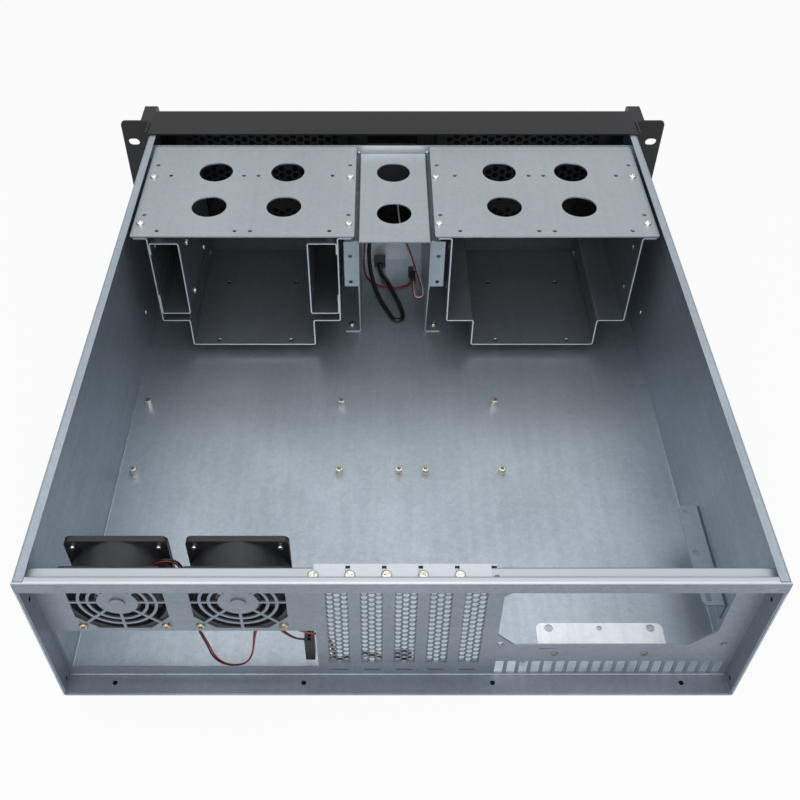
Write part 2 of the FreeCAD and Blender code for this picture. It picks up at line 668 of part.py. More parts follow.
rail = keep(new_body("psu_rail"))
rail_rear, rail_front = at(45), at(45) - dim["psu_rail_length"]
rail_inner = -inside + dim["psu_rail_width"]
folded(rail, "XZ", [(rail_inner, psu_low), (-inside, psu_low), (-inside, psu_low - 16)], gauge, rail_front, rail_rear)
round_edges(rail, "XY", [(rail_inner, rail_front), (rail_inner, rail_rear)], 4)
cut(rail, "XY", [ring_of_corners(rail_inner - 4.5, rail_front + 6, Size.of(4), 6),
                 ring_of_corners(rail_inner - 4.5, rail_front + 40.4, Size.of(5), 8),
                 box_about(rail_inner - 4.5, rail_rear - 6.6, 3.6, 7)], psu_low - 2, psu_low + 1)

# ------------------------------------------------------------------ motherboard standoffs
# Hexagonal standoffs at the board's mounting holes.
standoffs = keep(new_body("standoffs"))
board_x = dim["board_edge"]
places = [(board_x - x, at(27.3) - y) for x in (0, 157.48, 281.94) for y in (0, 154.94, 227.33)]
places += [(board_x - 203.2, at(27.3) - 154.94), (board_x - 223.52, at(27.3) - 154.94)]
pad(standoffs, "XY", [hole(x, y, dim["standoff_across"]) for x, y in places],
    floor_top, floor_top + dim["standoff_height"])

# ------------------------------------------------------------------ drive cages
# Each cage is a stepped channel: the wide 5.25 inch bays above, the narrow 3.5 inch bay below.
cage_x = dim["cage_centre"]
cage_floor = floor_top + dim["cage_clear"] + gauge
ledge = cage_floor + dim["narrow_bay_height"]
cage_top = ledge + dim["wide_bay_height"]
wide, narrow = dim["wide_bay"] / 2, dim["narrow_bay"] / 2
tip = wide + dim["cage_flange"]
cage = keep(new_body("drive_cage_right"))
folded(cage, "XZ",
       [(cage_x + tip, cage_top), (cage_x + wide, cage_top), (cage_x + wide, ledge), (cage_x + narrow, ledge),
        (cage_x + narrow, cage_floor), (cage_x - narrow, cage_floor), (cage_x - narrow, ledge),
        (cage_x - wide, ledge), (cage_x - wide, cage_top), (cage_x - tip, cage_top)],
       gauge, cage_front, cage_rear)
cut(cage, "XY", [hole(cage_x + x, at(d), 4.4) for x in (-30.6, 30.6) for d in (323, 401)],
    cage_floor - gauge - 1, cage_floor + 1)
cut(cage, "YZ", [box_about(at(d), base + z, 5, 3.4) for d in (335, 414) for z in (59, 100.3)]
    + [box_about(at(387), base + 17.8, 101.6, 3.6)], cage_x - wide - 2, cage_x + wide + 2)
keep(mirrored(cage, "drive_cage_left"))

# A flat plate closes the top of each cage.
plate = keep(new_body("cage_plate_right"))
plate_half = dim["plate_width"] / 2
plate_rear, plate_front = cage_rear - 0.7, cage_front + 1
plate_top = cage_top + 1.2
pad(plate, "XY", [box(cage_x - plate_half, plate_front, cage_x + plate_half, plate_rear)]
    + [circle(cage_x + x, at(d), dim["plate_hole"] / 2) for x in (-30, 30) for d in (408.3, 358.5)]
    + [hole(cage_x + x, at(d)) for x in (-82, 80) for d in (418.5, 347)], cage_top, plate_top)
round_edges(plate, "XY", [(cage_x + sx * plate_half, y) for sx in (-1, 1) for y in (plate_front, plate_rear)], 4)
keep(mirrored(plate, "cage_plate_left"))

# A pair of channels narrows the right cage's upper bays for 3.5 inch drives.
channel = keep(new_body("drive_adapter_outer"))
channel_wall = cage_x + wide
channel_in = channel_wall - (dim["wide_bay"] - dim["narrow_bay"]) / 2 - 1.5
channel_top = base + dim["adapter_top"] + gauge
channel_low = channel_top - dim["adapter_height"] - gauge
folded(channel, "XZ",
       [(channel_wall, channel_top - 11), (channel_wall, channel_top), (channel_in, channel_top),
        (channel_in, channel_low), (channel_wall, channel_low), (channel_wall, channel_low + 20)],
       gauge, cage_front + 2, cage_rear)
cut(channel, "YZ", [box_about(at(d), channel_low + z, 5, 3.4) for d in (344, 404) for z in (4, 54)],
    channel_in - 1, channel_in + 2)
twin = keep(doc.addObject("Part::Mirroring", "drive_adapter_inner"))
twin.Label = "drive_adapter_inner"
twin.Source = channel
twin.Normal = FreeCAD.Vector(1, 0, 0)
twin.setExpression("Base.x", cage_x.text)

# ------------------------------------------------------------------ centre bracket
# An inverted channel between the cages; its legs lean back at the foot and its feet are screwed down.
bridge = keep(new_body("centre_bracket"))
bridge_half = dim["bracket_width"] / 2
bridge_top = base + dim["bracket_top"]
bridge_rear = cage_rear - 1
bridge_front = bridge_rear - dim["bracket_length"]
foot = bridge_half + 12
folded(bridge, "XZ",
       [(-foot, floor_top), (-(bridge_half - gauge), floor_top), (-(bridge_half - gauge), bridge_top - gauge),
        (bridge_half - gauge, bridge_top - gauge), (bridge_half - gauge, floor_top), (foot, floor_top)],
       gauge, bridge_front, bridge_rear)
cut(bridge, "YZ", [outline([(bridge_rear - 3, base + 71), (bridge_rear + 1, base + 71), (bridge_rear + 1, base - 1),
                            (bridge_rear - 26, base - 1), (bridge_rear - 26, floor_top + 3)])],
    -foot - 1, foot + 1)
cut(bridge, "XY", [box(x0, bridge_front - 1, x1, bridge_rear - 46)
                   for x0, x1 in ((-foot - 1, -bridge_half), (bridge_half, foot + 1))], base, floor_top + 4)
cut(bridge, "XY", [hole(sx * (foot - 5), bridge_rear - 34.8, 3.4) for sx in (-1, 1)], base, floor_top + 4)
cut(bridge, "XY", [circle(0, at(d), dim["plate_hole"] / 2) for d in (415.7, 356.5)],
    bridge_top - gauge - 1, bridge_top + 1)
for sx in (-1, 1):
    ear_x = sorted([(bridge_half - gauge) * sx, (bridge_half + 11) * sx], key=lambda size: size.value)
    pad(bridge, "XZ", [box(ear_x[0], base + 71, ear_x[1], bridge_top - 2.3)], bridge_rear - 3 - gauge, bridge_rear - 3)
    cut(bridge, "XZ", [hole((bridge_half + 6) * sx, base + z) for z in (101.5, 75.6)],
        bridge_rear - 6, bridge_rear)

# ------------------------------------------------------------------ inner front wall
# A sheet across the tub with the bays' windows; the cages are fixed to it.
inner = keep(new_body("sub_panel"))
sub_rear, sub_front = cage_front, cage_front - gauge
side_clear = bend + fit_gap
sub_top = cage_top + 2
pad(inner, "XZ", [outline([(-inside + side_clear, floor_top), (inside - side_clear, floor_top),
                           (inside - side_clear, sub_top), (-inside + side_clear, sub_top)])]
    + [outline([(side * cage_x - narrow, cage_floor), (side * cage_x + narrow, cage_floor),
                (side * cage_x + narrow, ledge), (side * cage_x + wide, ledge),
                (side * cage_x + wide, cage_top - 2), (side * cage_x - wide, cage_top - 2),
                (side * cage_x - wide, ledge), (side * cage_x - narrow, ledge)]) for side in (-1, 1)]
    + [box(-26, base + 30, 26, base + 112)], sub_front, sub_rear)
pad(inner, "XY", [box(-inside + side_clear, sub_front - 12, inside - side_clear, sub_front)],
    floor_top, floor_top + gauge)
for side in (-1, 1):
    leaf = sorted([inside * side, (inside - gauge) * side], key=lambda size: size.value)
    link = sorted([inside * side, (inside - side_clear - 1) * side], key=lambda size: size.value)
    pad(inner, "XZ", [box(link[0], floor_top + 4, link[1], sub_top)], sub_front, sub_rear)
    pad(inner, "XZ", [box(leaf[0], floor_top + 4, leaf[1], sub_top)], sub_front - 12, sub_front)

# ------------------------------------------------------------------ front panel
# A shallow black tray slipped over the front of the tub, with windows for the bays and the controls.
panel = keep(new_body("front_panel"))
skin = dim["front_gauge"]
panel_side = half + skin
panel_rear = face_y + dim["collar"]
pad(panel, "XZ", [box(-panel_side, base - skin, panel_side, panel_top)], face_y, panel_rear)
round_edges(panel, "XZ", [(sx * panel_side, z) for sx in (-1, 1) for z in (base - skin, panel_top)], 1.5)
cut(panel, "XZ", [box(-half, base, half, tub_top)], face_inner, panel_rear + 1)
mid_ledge = ledge + dim["wide_bay_height"] / 2
bay_edge = 0.3
cut(panel, "XZ", [box(side * cage_x - wide, ledge, side * cage_x + wide, cage_top - 1) for side in (-1, 1)]
    + [box(side * cage_x - narrow, cage_floor, side * cage_x + narrow, ledge - 2) for side in (-1, 1)],
    face_y - 1, face_inner + 1)
button_z = {"power": base + 92, "reset": base + 74}
button_r = {"power": 6.0, "reset": 3.0}
light_z = {"power_light": base + 60, "drive_light": base + 52}
usb_z = base + 36
cut(panel, "XZ", [circle(0, button_z[name], button_r[name] + 0.3) for name in ("power", "reset")]
    + [ring_of_corners(0, z, Size.of(3.4), 8) for z in light_z.values()]
    + [box_about(x, usb_z, 14.6, 7.6) for x in (-10, 10)], face_y - 1, face_inner + 1)

# Perforated covers close the bays; each is a tray with a turned edge behind the face.
def bay_cover(label, x0, z0, x1, z1, columns, rows):
    lid = keep(new_body(label))
    gap = Size.of(bay_edge)
    pad(lid, "XZ", [box(x0 + gap, z0 + gap, x1 - gap, z1 - gap)], face_y + 0.5, face_y + 6)
    cut(lid, "XZ", [box(x0 + gap + gauge, z0 + gap + gauge, x1 - gap - gauge, z1 - gap - gauge)],
        face_y + 0.5 + gauge, face_y + 7)
    pitch_x = (x1 - x0 - 8) / columns
    pitch_z = (z1 - z0 - 6) / rows
    row = cut(lid, "XZ", [box_about(x0 + 4 + pitch_x * (i + 0.5), z0 + 3 + pitch_z / 2, pitch_x - 3, pitch_z * 0.6)
                          for i in range(columns)], face_y, face_y + 0.5 + gauge + 0.2)
    repeat(lid, row, "V_Axis", pitch_z, rows)
    return lid


bay_split = (ledge + cage_top - 1) / 2
upper = bay_cover("bay_cover_right_upper", cage_x - wide, bay_split, cage_x + wide, cage_top - 1, 2, 5)
lower = bay_cover("bay_cover_right_lower", cage_x - wide, ledge, cage_x + wide, bay_split, 2, 5)
slim = bay_cover("small_cover_right", cage_x - narrow, cage_floor, cage_x + narrow, ledge - 2, 1, 3)
keep(mirrored(upper, "bay_cover_left_upper"))
keep(mirrored(lower, "bay_cover_left_lower"))
keep(mirrored(slim, "small_cover_left"))

# Controls in the middle of the face: a carrier behind it holds the switches, lamps and ports.
module = keep(new_body("control_module"))
module_front = face_inner + 4
module_rear = module_front + 7
pad(module, "XZ", [box(-22, base + 26, 22, base + 104)], module_front, module_rear)
pad(module, "XZ", [box_about(x, z, 5, 5) for x in (-19, 19) for z in (base + 29, base + 101)],
    face_inner, module_front)
cut(module, "XZ", [box_about(x, usb_z, 14.6, 7.6) for x in (-10, 10)], module_front - 1, module_rear + 1)
for name, label in (("power", "power_button"), ("reset", "reset_button")):
    key = keep(new_body(label))
    radius = button_r[name]
    pad(key, "XZ", [circle(0, button_z[name], radius)], face_y - 1.8, face_inner + 1.6)
    pad(key, "XZ", [circle(0, button_z[name], radius + 1.5)], face_inner + 0.3, face_inner + 1.6)
for label, z in light_z.items():
    lens = keep(new_body(label))
    pad(lens, "XZ", [ring_of_corners(0, z, Size.of(3.2), 8)], face_y - 0.8, module_front)
ports = keep(new_body("usb_ports"))
pad(ports, "XZ", [box_about(x, usb_z, 14.4, 7.4) for x in (-10, 10)], face_y - 0.3, module_rear + 3)
pad(ports, "XZ", [box_about(0, usb_z, 34, 9)], module_rear, module_rear + 3)
cut(ports, "XZ", [box_about(x, usb_z, 12.4, 5) for x in (-10, 10)], face_y - 1, module_rear - 3)

# ------------------------------------------------------------------ rack ears and handles
ear = keep(new_body("ear_right"))
ear_tip = dim["ear_span"] / 2
folded(ear, "XY", [(panel_side, ear_front + dim["ear_leg"]), (panel_side, ear_front), (ear_tip, ear_front)],
       dim["ear_gauge"], base - skin, panel_top)
round_edges(ear, "XZ", [(ear_tip, base - skin), (ear_tip, panel_top)], 4)
rack_x = dim["rack_hole_span"] / 2
mid_z = (base - skin + panel_top) / 2
rack_z = [mid_z - dim["rack_hole_rise"] / 2, mid_z + dim["rack_hole_rise"] / 2]
cut(ear, "XZ", [slot(rack_x, z, dim["rack_slot_long"], dim["rack_slot_high"]) for z in rack_z],
    ear_front - 1, ear_front + dim["ear_gauge"] + 1)
keep(mirrored(ear, "ear_left"))

# Each handle is a flat-sided bail that stands on its ear.
grip = keep(new_body("handle_right"))
grip_x = panel_side + fit_gap
grip_low, grip_high = base - skin + dim["handle_margin"], panel_top - dim["handle_margin"]
grip_front = ear_front - dim["handle_reach"]
bar_deep = dim["handle_bar"]
pad(grip, "YZ", [outline([(ear_front, grip_low), (ear_front, grip_low + bar_deep),
                          (grip_front + bar_deep, grip_low + bar_deep), (grip_front + bar_deep, grip_high - bar_deep),
                          (ear_front, grip_high - bar_deep), (ear_front, grip_high), (grip_front, grip_high),
                          (grip_front, grip_low)])], grip_x, grip_x + dim["handle_width"])
round_edges(grip, "YZ", [(grip_front, grip_low), (grip_front, grip_high)], 7)
round_edges(grip, "YZ", [(grip_front + bar_deep, grip_low + bar_deep),
                         (grip_front + bar_deep, grip_high - bar_deep)], 3)
keep(mirrored(grip, "handle_left"))

# ------------------------------------------------------------------ checks and export
doc.recompute()
problems = [item.Label for item in doc.Objects if "Invalid" in item.State or "Error" in item.State]
for piece in pieces:
    if piece.Shape.isNull() or not piece.Shape.isValid() or not piece.Shape.Solids:
        problems.append(piece.Label)
if problems:
    sys.exit("failed: " + ", ".join(problems))
os.makedirs("parts", exist_ok=True)
for piece in pieces:
    piece.Shape.exportStep("parts/%s.step" % piece.Label)
print("wrote %d pieces" % len(pieces))
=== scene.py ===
"""Looks of an empty 3U rackmount server case: galvanised tub and rear wall, black front, fans and leads."""

import math

import bmesh
import bpy
from mathutils import Matrix, Vector


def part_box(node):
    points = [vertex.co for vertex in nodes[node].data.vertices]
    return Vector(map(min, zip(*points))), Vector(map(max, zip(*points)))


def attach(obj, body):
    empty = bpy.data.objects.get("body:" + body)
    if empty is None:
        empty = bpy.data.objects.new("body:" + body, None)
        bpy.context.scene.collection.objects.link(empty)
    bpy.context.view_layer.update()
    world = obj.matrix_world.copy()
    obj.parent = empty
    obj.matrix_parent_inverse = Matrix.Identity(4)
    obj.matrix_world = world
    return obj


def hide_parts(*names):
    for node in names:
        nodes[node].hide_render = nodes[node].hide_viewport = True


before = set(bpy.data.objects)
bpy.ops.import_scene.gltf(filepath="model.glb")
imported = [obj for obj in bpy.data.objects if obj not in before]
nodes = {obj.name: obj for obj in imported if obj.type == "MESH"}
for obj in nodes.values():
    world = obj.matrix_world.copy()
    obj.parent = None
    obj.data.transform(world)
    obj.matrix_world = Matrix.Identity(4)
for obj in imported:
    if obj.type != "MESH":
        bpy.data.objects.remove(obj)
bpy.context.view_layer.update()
scene = bpy.context.scene
MM = 0.001

# ---------------------------------------------------------------- camera
# The case is seen from behind and above, with the rear wall nearest and the front panel furthest away.
eye = bpy.data.cameras.new("camera")
camera = bpy.data.objects.new("camera", eye)
scene.collection.objects.link(camera)
camera.location = (0.012503, 0.554988, 0.577935)
camera.rotation_euler = (math.pi / 2 - 0.803, 0, math.pi)
eye.sensor_width = 36
eye.lens = 43.729
eye.shift_x = 0.02674
eye.clip_start = 0.02
scene.camera = camera
scene.view_settings.view_transform = "Standard"


# ---------------------------------------------------------------- leads and plugs
# Each fan and each control has a thin pair of PVC insulated copper strands, twisted loosely together.
# They end in moulded nylon plugs, which lie unplugged where the motherboard would be.
def colour(hex_value):
    """An sRGB hex colour as linear values with full alpha."""
    channels = [int(hex_value[i:i + 2], 16) / 255 for i in (1, 3, 5)]
    linear = [c / 12.92 if c <= 0.04045 else ((c + 0.055) / 1.055) ** 2.4 for c in channels]
    return (*linear, 1.0)


def add(tree, kind, links=None, **settings):
    """Adds one node: its properties or socket values, then its links, from socket to source."""
    item = tree.nodes.new(kind)
    for name, value in settings.items():
        if hasattr(item, name):
            setattr(item, name, value)
        else:
            item.inputs[name.replace("_", " ")].default_value = value
    for name, source in (links or {}).items():
        if isinstance(source, (int, float)):
            item.inputs[name].default_value = source
        else:
            tree.links.new(source, item.inputs[name])
    return item


def new_material(name):
    """An empty material and its tree, with the object's own coordinates counted in millimetres."""
    material = bpy.data.materials.new(name)
    material.use_nodes = True
    tree = material.node_tree
    tree.nodes.clear()
    place = add(tree, "ShaderNodeTexCoord")
    millimetres = add(tree, "ShaderNodeMapping", {"Vector": place.outputs["Object"]},
                      Scale=(1000, 1000, 1000))
    return material, tree, millimetres.outputs[0]


def moulded(name, dark, light, rough, grain_mm=0.5, depth=0.12, gloss=0.5):
    """Injection-moulded or extruded plastic: an even tone with faint flow clouds and a fine matt grain."""
    material, tree, place = new_material(name)
    cloud = add(tree, "ShaderNodeTexNoise", {"Vector": place}, Scale=0.12, Detail=3.0)
    grain = add(tree, "ShaderNodeTexNoise", {"Vector": place}, Scale=1 / grain_mm, Detail=2.0)
    ramp = add(tree, "ShaderNodeValToRGB", {"Fac": cloud.outputs["Fac"]})
    ramp.color_ramp.elements[0].position = 0.3
    ramp.color_ramp.elements[0].color = colour(dark)
    ramp.color_ramp.elements[1].position = 0.7
    ramp.color_ramp.elements[1].color = colour(light)
    roughness = add(tree, "ShaderNodeMapRange", {"Value": grain.outputs["Fac"]},
                    To_Min=rough - 0.08, To_Max=rough + 0.08)
    bump = add(tree, "ShaderNodeBump", {"Height": grain.outputs["Fac"]}, Strength=depth, Distance=0.0001)
    surface = add(tree, "ShaderNodeBsdfPrincipled",
                  {"Base Color": ramp.outputs[0], "Roughness": roughness.outputs[0], "Normal": bump.outputs[0]},
                  IOR=1.5, Specular_IOR_Level=gloss)
    add(tree, "ShaderNodeOutputMaterial", {"Surface": surface.outputs[0]})
    return material


# Extruded PVC: soft sheen, slightly dusty colour.
red_pvc = moulded("red_pvc_insulation", "#7A1F1E", "#9A2F2C", 0.38)
black_pvc = moulded("black_pvc_insulation", "#101114", "#1F2023", 0.36)
white_pvc = moulded("white_pvc_insulation", "#C9C6BD", "#E4E2DA", 0.38)
grey_pvc = moulded("grey_pvc_insulation", "#5A5B5F", "#74767A", 0.38)
dull_red_pvc = moulded("dull_red_pvc_insulation", "#7C2426", "#99302F", 0.42)


def nothing_selected():
    """Leaves edit mode and selects nothing."""
    if bpy.context.object and bpy.context.object.mode != "OBJECT":
        bpy.ops.object.mode_set(mode="OBJECT")
    bpy.ops.object.select_all(action="DESELECT")


def alone(piece):
    """Selects just this piece and makes it the one that operators act on."""
    nothing_selected()
    piece.select_set(True)
    bpy.context.view_layer.objects.active = piece
    return piece


def pick(piece, kind, test):
    """In edit mode, selects just the piece's faces or edges whose middle and direction pass the test."""
    alone(piece)
    bpy.ops.object.mode_set(mode="EDIT")
    bpy.ops.mesh.select_all(action="DESELECT")
    bpy.ops.mesh.select_mode(type="FACE" if kind == "faces" else "EDGE")
    cage = bmesh.from_edit_mesh(piece.data)
    for item in getattr(cage, kind):
        if kind == "faces":
            chosen = test(item.calc_center_median() / MM, item.normal)
        else:
            one, two = (vertex.co for vertex in item.verts)
            chosen = test((one + two) / 2 / MM, (two - one).normalized())
        item.select_set(chosen)
    bmesh.update_edit_mesh(piece.data)


def block(low, high):
    """A box between two corners, in millimetres."""
    nothing_selected()
    bpy.ops.mesh.primitive_cube_add(size=1, location=[(a + b) / 2 * MM for a, b in zip(low, high)])
    piece = bpy.context.object
    piece.scale = [(b - a) * MM for a, b in zip(low, high)]
    bpy.ops.object.transform_apply(location=True, rotation=True, scale=True)
    return piece


def drum(centre, across, long, way="z", sides=24):
    """A round bar about its centre, in millimetres; with six sides its flats face up and down."""
    nothing_selected()
    turn = {"x": (0, math.pi / 2, 0), "y": (math.pi / 2, math.pi / 6, 0), "z": (0, 0, 0)}[way]
    bpy.ops.mesh.primitive_cylinder_add(vertices=sides, radius=across / 2 * MM, depth=long * MM,
                                        location=[value * MM for value in centre], rotation=turn)
    bpy.ops.object.transform_apply(location=True, rotation=True, scale=True)
    return bpy.context.object


def carve(piece, tool, operation="DIFFERENCE"):
    """Cuts the tool out of the piece, or joins it on, and removes the tool."""
    alone(piece)
    change = piece.modifiers.new("carve", "BOOLEAN")
    change.operation = operation
    change.solver = "EXACT"
    change.object = tool
    bpy.ops.object.modifier_apply(modifier=change.name)
    bpy.data.objects.remove(tool)
    return piece


def bevelled(piece, offset, segments, test):
    """Rounds the edges that pass the test."""
    pick(piece, "edges", test)
    bpy.ops.mesh.bevel(offset=offset * MM, segments=segments, affect="EDGES")
    bpy.ops.object.mode_set(mode="OBJECT")
    return piece


def joined(pieces):
    """Makes one object of several."""
    nothing_selected()
    for piece in pieces:
        piece.select_set(True)
    bpy.context.view_layer.objects.active = pieces[0]
    if len(pieces) > 1:
        bpy.ops.object.join()
    return bpy.context.object


def twin_of(piece):
    """A copy of a piece with a mesh of its own."""
    twin = piece.copy()
    twin.data = piece.data.copy()
    scene.collection.objects.link(twin)
    return twin


def settle(piece, name, material, body="case", smooth=35, stands_for=()):
    """Closes and names a finished piece, gives it its finish, and lets it ride with what carries it."""
    alone(piece)
    bpy.ops.object.transform_apply(location=True, rotation=True, scale=True)
    bpy.ops.object.mode_set(mode="EDIT")
    bpy.ops.mesh.select_all(action="SELECT")
    bpy.ops.mesh.remove_doubles(threshold=0.000002)
    bpy.ops.mesh.normals_make_consistent(inside=False)
    bpy.ops.object.mode_set(mode="OBJECT")
    if smooth:
        bpy.ops.object.shade_smooth_by_angle(angle=math.radians(smooth))
    piece.name = piece.data.name = name
    piece.data.materials.clear()
    piece.data.materials.append(material)
    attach(piece, body)
    if stands_for:
        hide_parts(*stands_for)
    return piece


def corners(node):
    """A CAD node's lowest and highest corners in millimetres."""
    low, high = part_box(node)
    return [value / MM for value in low], [value / MM for value in high]


def dress(material, *names):
    """Gives CAD nodes their finish."""
    for name in names:
        mesh = nodes[name].data
        mesh.materials.clear()
        mesh.materials.append(material)


# Nylon 66 housings: opaque, slightly waxy, with a fine matt skin.
black_nylon = moulded("black_nylon", "#151619", "#222327", 0.42)
white_nylon = moulded("white_nylon", "#CFCBBF", "#E2DFD4", 0.42)
# Each housing's name, the axis it points along, its number of contacts and its corners in millimetres.
for node, along, ways, low, high in (
        ("fan_plug_right", 2, 3, Vector((53, 234, 14)), Vector((59, 242, 37))),
        ("fan_plug_left", 0, 2, Vector((-9, 231.4, 2.5)), Vector((3, 237.4, 8.5))),
        ("port_plug", 1, 4, Vector((6, -186.5, 2.5)), Vector((16.6, -176, 8.1))),
        ("switch_plug", 1, 2, Vector((-20.4, -131, 28.2)), Vector((-15.2, -119, 33.8))),
        ("light_plug", 1, 2, Vector((-20.6, -172, 2.5)), Vector((-15.4, -160, 6.5)))):
    middle = [(a + b) / 2 for a, b in zip(low, high)]
    housing = block(low, high)
    bevelled(housing, 0.35, 2, lambda place, way: abs(way[along]) > 0.9)
    others = [i for i in range(3) if i != along]
    broad = max(others, key=lambda i: high[i] - low[i])
    thin = others[0] if broad == others[1] else others[1]
    end, inward = (high[along], -1) if node == "fan_plug_right" else (low[along], 1)
    across = (high[broad] - low[broad] - 1.0) / ways
    for number in range(ways):
        inner, outer = [0, 0, 0], [0, 0, 0]
        inner[broad] = low[broad] + 0.5 + across * number + 0.25
        outer[broad] = inner[broad] + across - 0.5
        inner[thin], outer[thin] = middle[thin] - across * 0.34, middle[thin] + across * 0.34
        inner[along], outer[along] = sorted((end - inward, end + 4 * inward))
        carve(housing, block(inner, outer))
    settle(housing, node + "_housing", black_nylon)


def lead(name, route, across, insulation, turn_mm):
    """Two strands that wind about the route's smooth line, or one round jacket."""
    line = bpy.data.curves.new(name + "_line", "CURVE")
    line.dimensions = "3D"
    line.resolution_u = 16
    spline = line.splines.new("NURBS")
    spline.points.add(len(route) - 1)
    for point, place in zip(spline.points, route):
        point.co = (*place, 1)
    spline.order_u = 3
    spline.use_endpoint_u = True
    guide = bpy.data.objects.new(name + "_line", line)
    scene.collection.objects.link(guide)
    bpy.context.view_layer.update()
    bare = bpy.data.meshes.new_from_object(guide)
    path = [vertex.co.copy() for vertex in bare.vertices]
    bpy.data.objects.remove(guide)
    strands = bpy.data.curves.new(name, "CURVE")
    strands.dimensions = "3D"
    strands.bevel_depth = across / 4 * 0.96
    strands.bevel_resolution = 2
    strands.use_fill_caps = True
    for material in insulation:
        strands.materials.append(material)
    sides = (1, -1)[:len(insulation)]
    if len(sides) == 1:
        strands.bevel_depth = across / 2
    rows = [[] for _ in sides]
    side = Vector((0, 0, 1)).cross(path[1] - path[0])
    side = (side if side.length > 1e-6 else Vector((1, 0, 0))).normalized()
    wound = 0.0
    for index, place in enumerate(path):
        ahead = (path[min(index + 1, len(path) - 1)] - path[max(index - 1, 0)]).normalized()
        side = (side - ahead * side.dot(ahead)).normalized()
        if index:
            wound += (place - path[index - 1]).length
        out = Matrix.Rotation(wound / (turn_mm * MM) * math.tau, 3, ahead) @ side
        for row, way in zip(rows, sides):
            row.append(place + out * (way * across / 4 if len(sides) > 1 else 0))
    for number, row in enumerate(rows):
        strand = strands.splines.new("POLY")
        strand.points.add(len(row) - 1)
        for point, place in zip(strand.points, row):
            point.co = (*place, 1)
        strand.material_index = number
    whole = bpy.data.objects.new(name, strands)
    scene.collection.objects.link(whole)
    alone(whole)
    bpy.ops.object.convert(target="MESH")
    pair = bpy.context.object
    bpy.ops.object.shade_smooth()
    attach(pair, "case")


def route_of(*points):
    """A route written in millimetres, in metres."""
    return [tuple(value * MM for value in point) for point in points]


lead("fan_lead_right_pair", route_of(
    (142.577, 232, 106.651), (138.866, 232, 109.696), (134.2, 232, 110.3), (130.2, 231.8, 108.2),
    (127.8, 231.6, 104.2), (127.6, 231.8, 95.5), (129.2, 233, 82), (128.6, 236.4, 64.5), (123.5, 239.5, 45.5),
    (119.8, 241, 31),
    (118.2, 241.2, 18), (113.5, 241.2, 8.4), (105.5, 241.2, 4.9), (97.6, 241.2, 8.6), (93.4, 241.1, 18),
    (91.4, 240.8, 29), (90, 240.5, 39), (88.6, 239.6, 47), (85, 238.8, 50.6), (80, 238.3, 51.3),
    (75.6, 238, 48.9), (72, 238, 41.9), (67.2, 238, 35.5), (62.8, 238, 32.6), (59, 238, 32.6)),
    0.0024, (black_pvc, red_pvc), 150)
lead("fan_lead_left_pair", route_of(
    (71.977, 233, 69.149), (67.339, 233, 65.343), (66, 233.6, 58.5), (67.6, 235, 52), (64.5, 238, 45.8),
    (56.5, 239.8, 42.6), (48.5, 240.4, 43.5), (43, 240.4, 37.5), (41.6, 240, 26), (41, 239, 14.5),
    (39.6, 238, 8), (35.5, 235.8, 4.2), (28.5, 232.8, 3.9), (16, 231.4, 3.9), (8.5, 234.4, 3.9),
    (3, 234.4, 3.9)),
    0.0024, (red_pvc, grey_pvc), 90)
lead("port_lead_pair", route_of(
    (10, -221.75, 37.5), (10, -212, 37.5), (13, -202, 38), (17, -192, 37), (20.5, -181, 33), (21.8, -168, 24),
    (20, -155, 13.5), (16, -141, 6), (11.2, -126, 4.5), (4.5, -110, 4.45), (-1, -98, 4.45), (-6, -97.4, 4.45),
    (-9.6, -101.3, 4.45), (-8, -113, 4.5), (-4.5, -124.5, 5.2), (-0.6, -134.5, 6.6), (4, -148.5, 6.9),
    (8.6, -160, 5.9), (11.3, -169, 5.2), (11.3, -176, 5.2)),
    0.0038, (black_pvc,), 40)
lead("switch_lead_pair", route_of(
    (-4, -224.75, 58), (-4, -215, 58), (-5, -206, 52), (-7, -197, 42), (-9, -186, 35.5), (-13, -172, 32.5),
    (-17.7, -153.5, 31.5), (-22, -132, 31), (-25.3, -113, 32), (-26.3, -103, 32.6), (-26.3, -96, 33),
    (-22.5, -93.8, 33), (-18.7, -96, 32.6), (-18.2, -103, 32), (-17.8, -112, 31), (-17.8, -119, 31)),
    0.0026, (white_pvc, red_pvc), 110)
lead("light_lead_pair", route_of(
    (16, -224.75, 75), (16.3, -215, 75), (18.5, -205, 69), (21.2, -197.5, 57), (23.2, -191, 43),
    (25.2, -182.5, 29), (26.4, -175.5, 15.5), (26.2, -167.5, 5.5), (23.4, -159, 3.3), (17.5, -151, 3.3),
    (7.5, -144.5, 3.3), (-3.5, -143.6, 3.3), (-13, -147, 3.3), (-18, -153, 3.3), (-18, -160, 3.3)),
    0.0015, (dull_red_pvc,), 12)

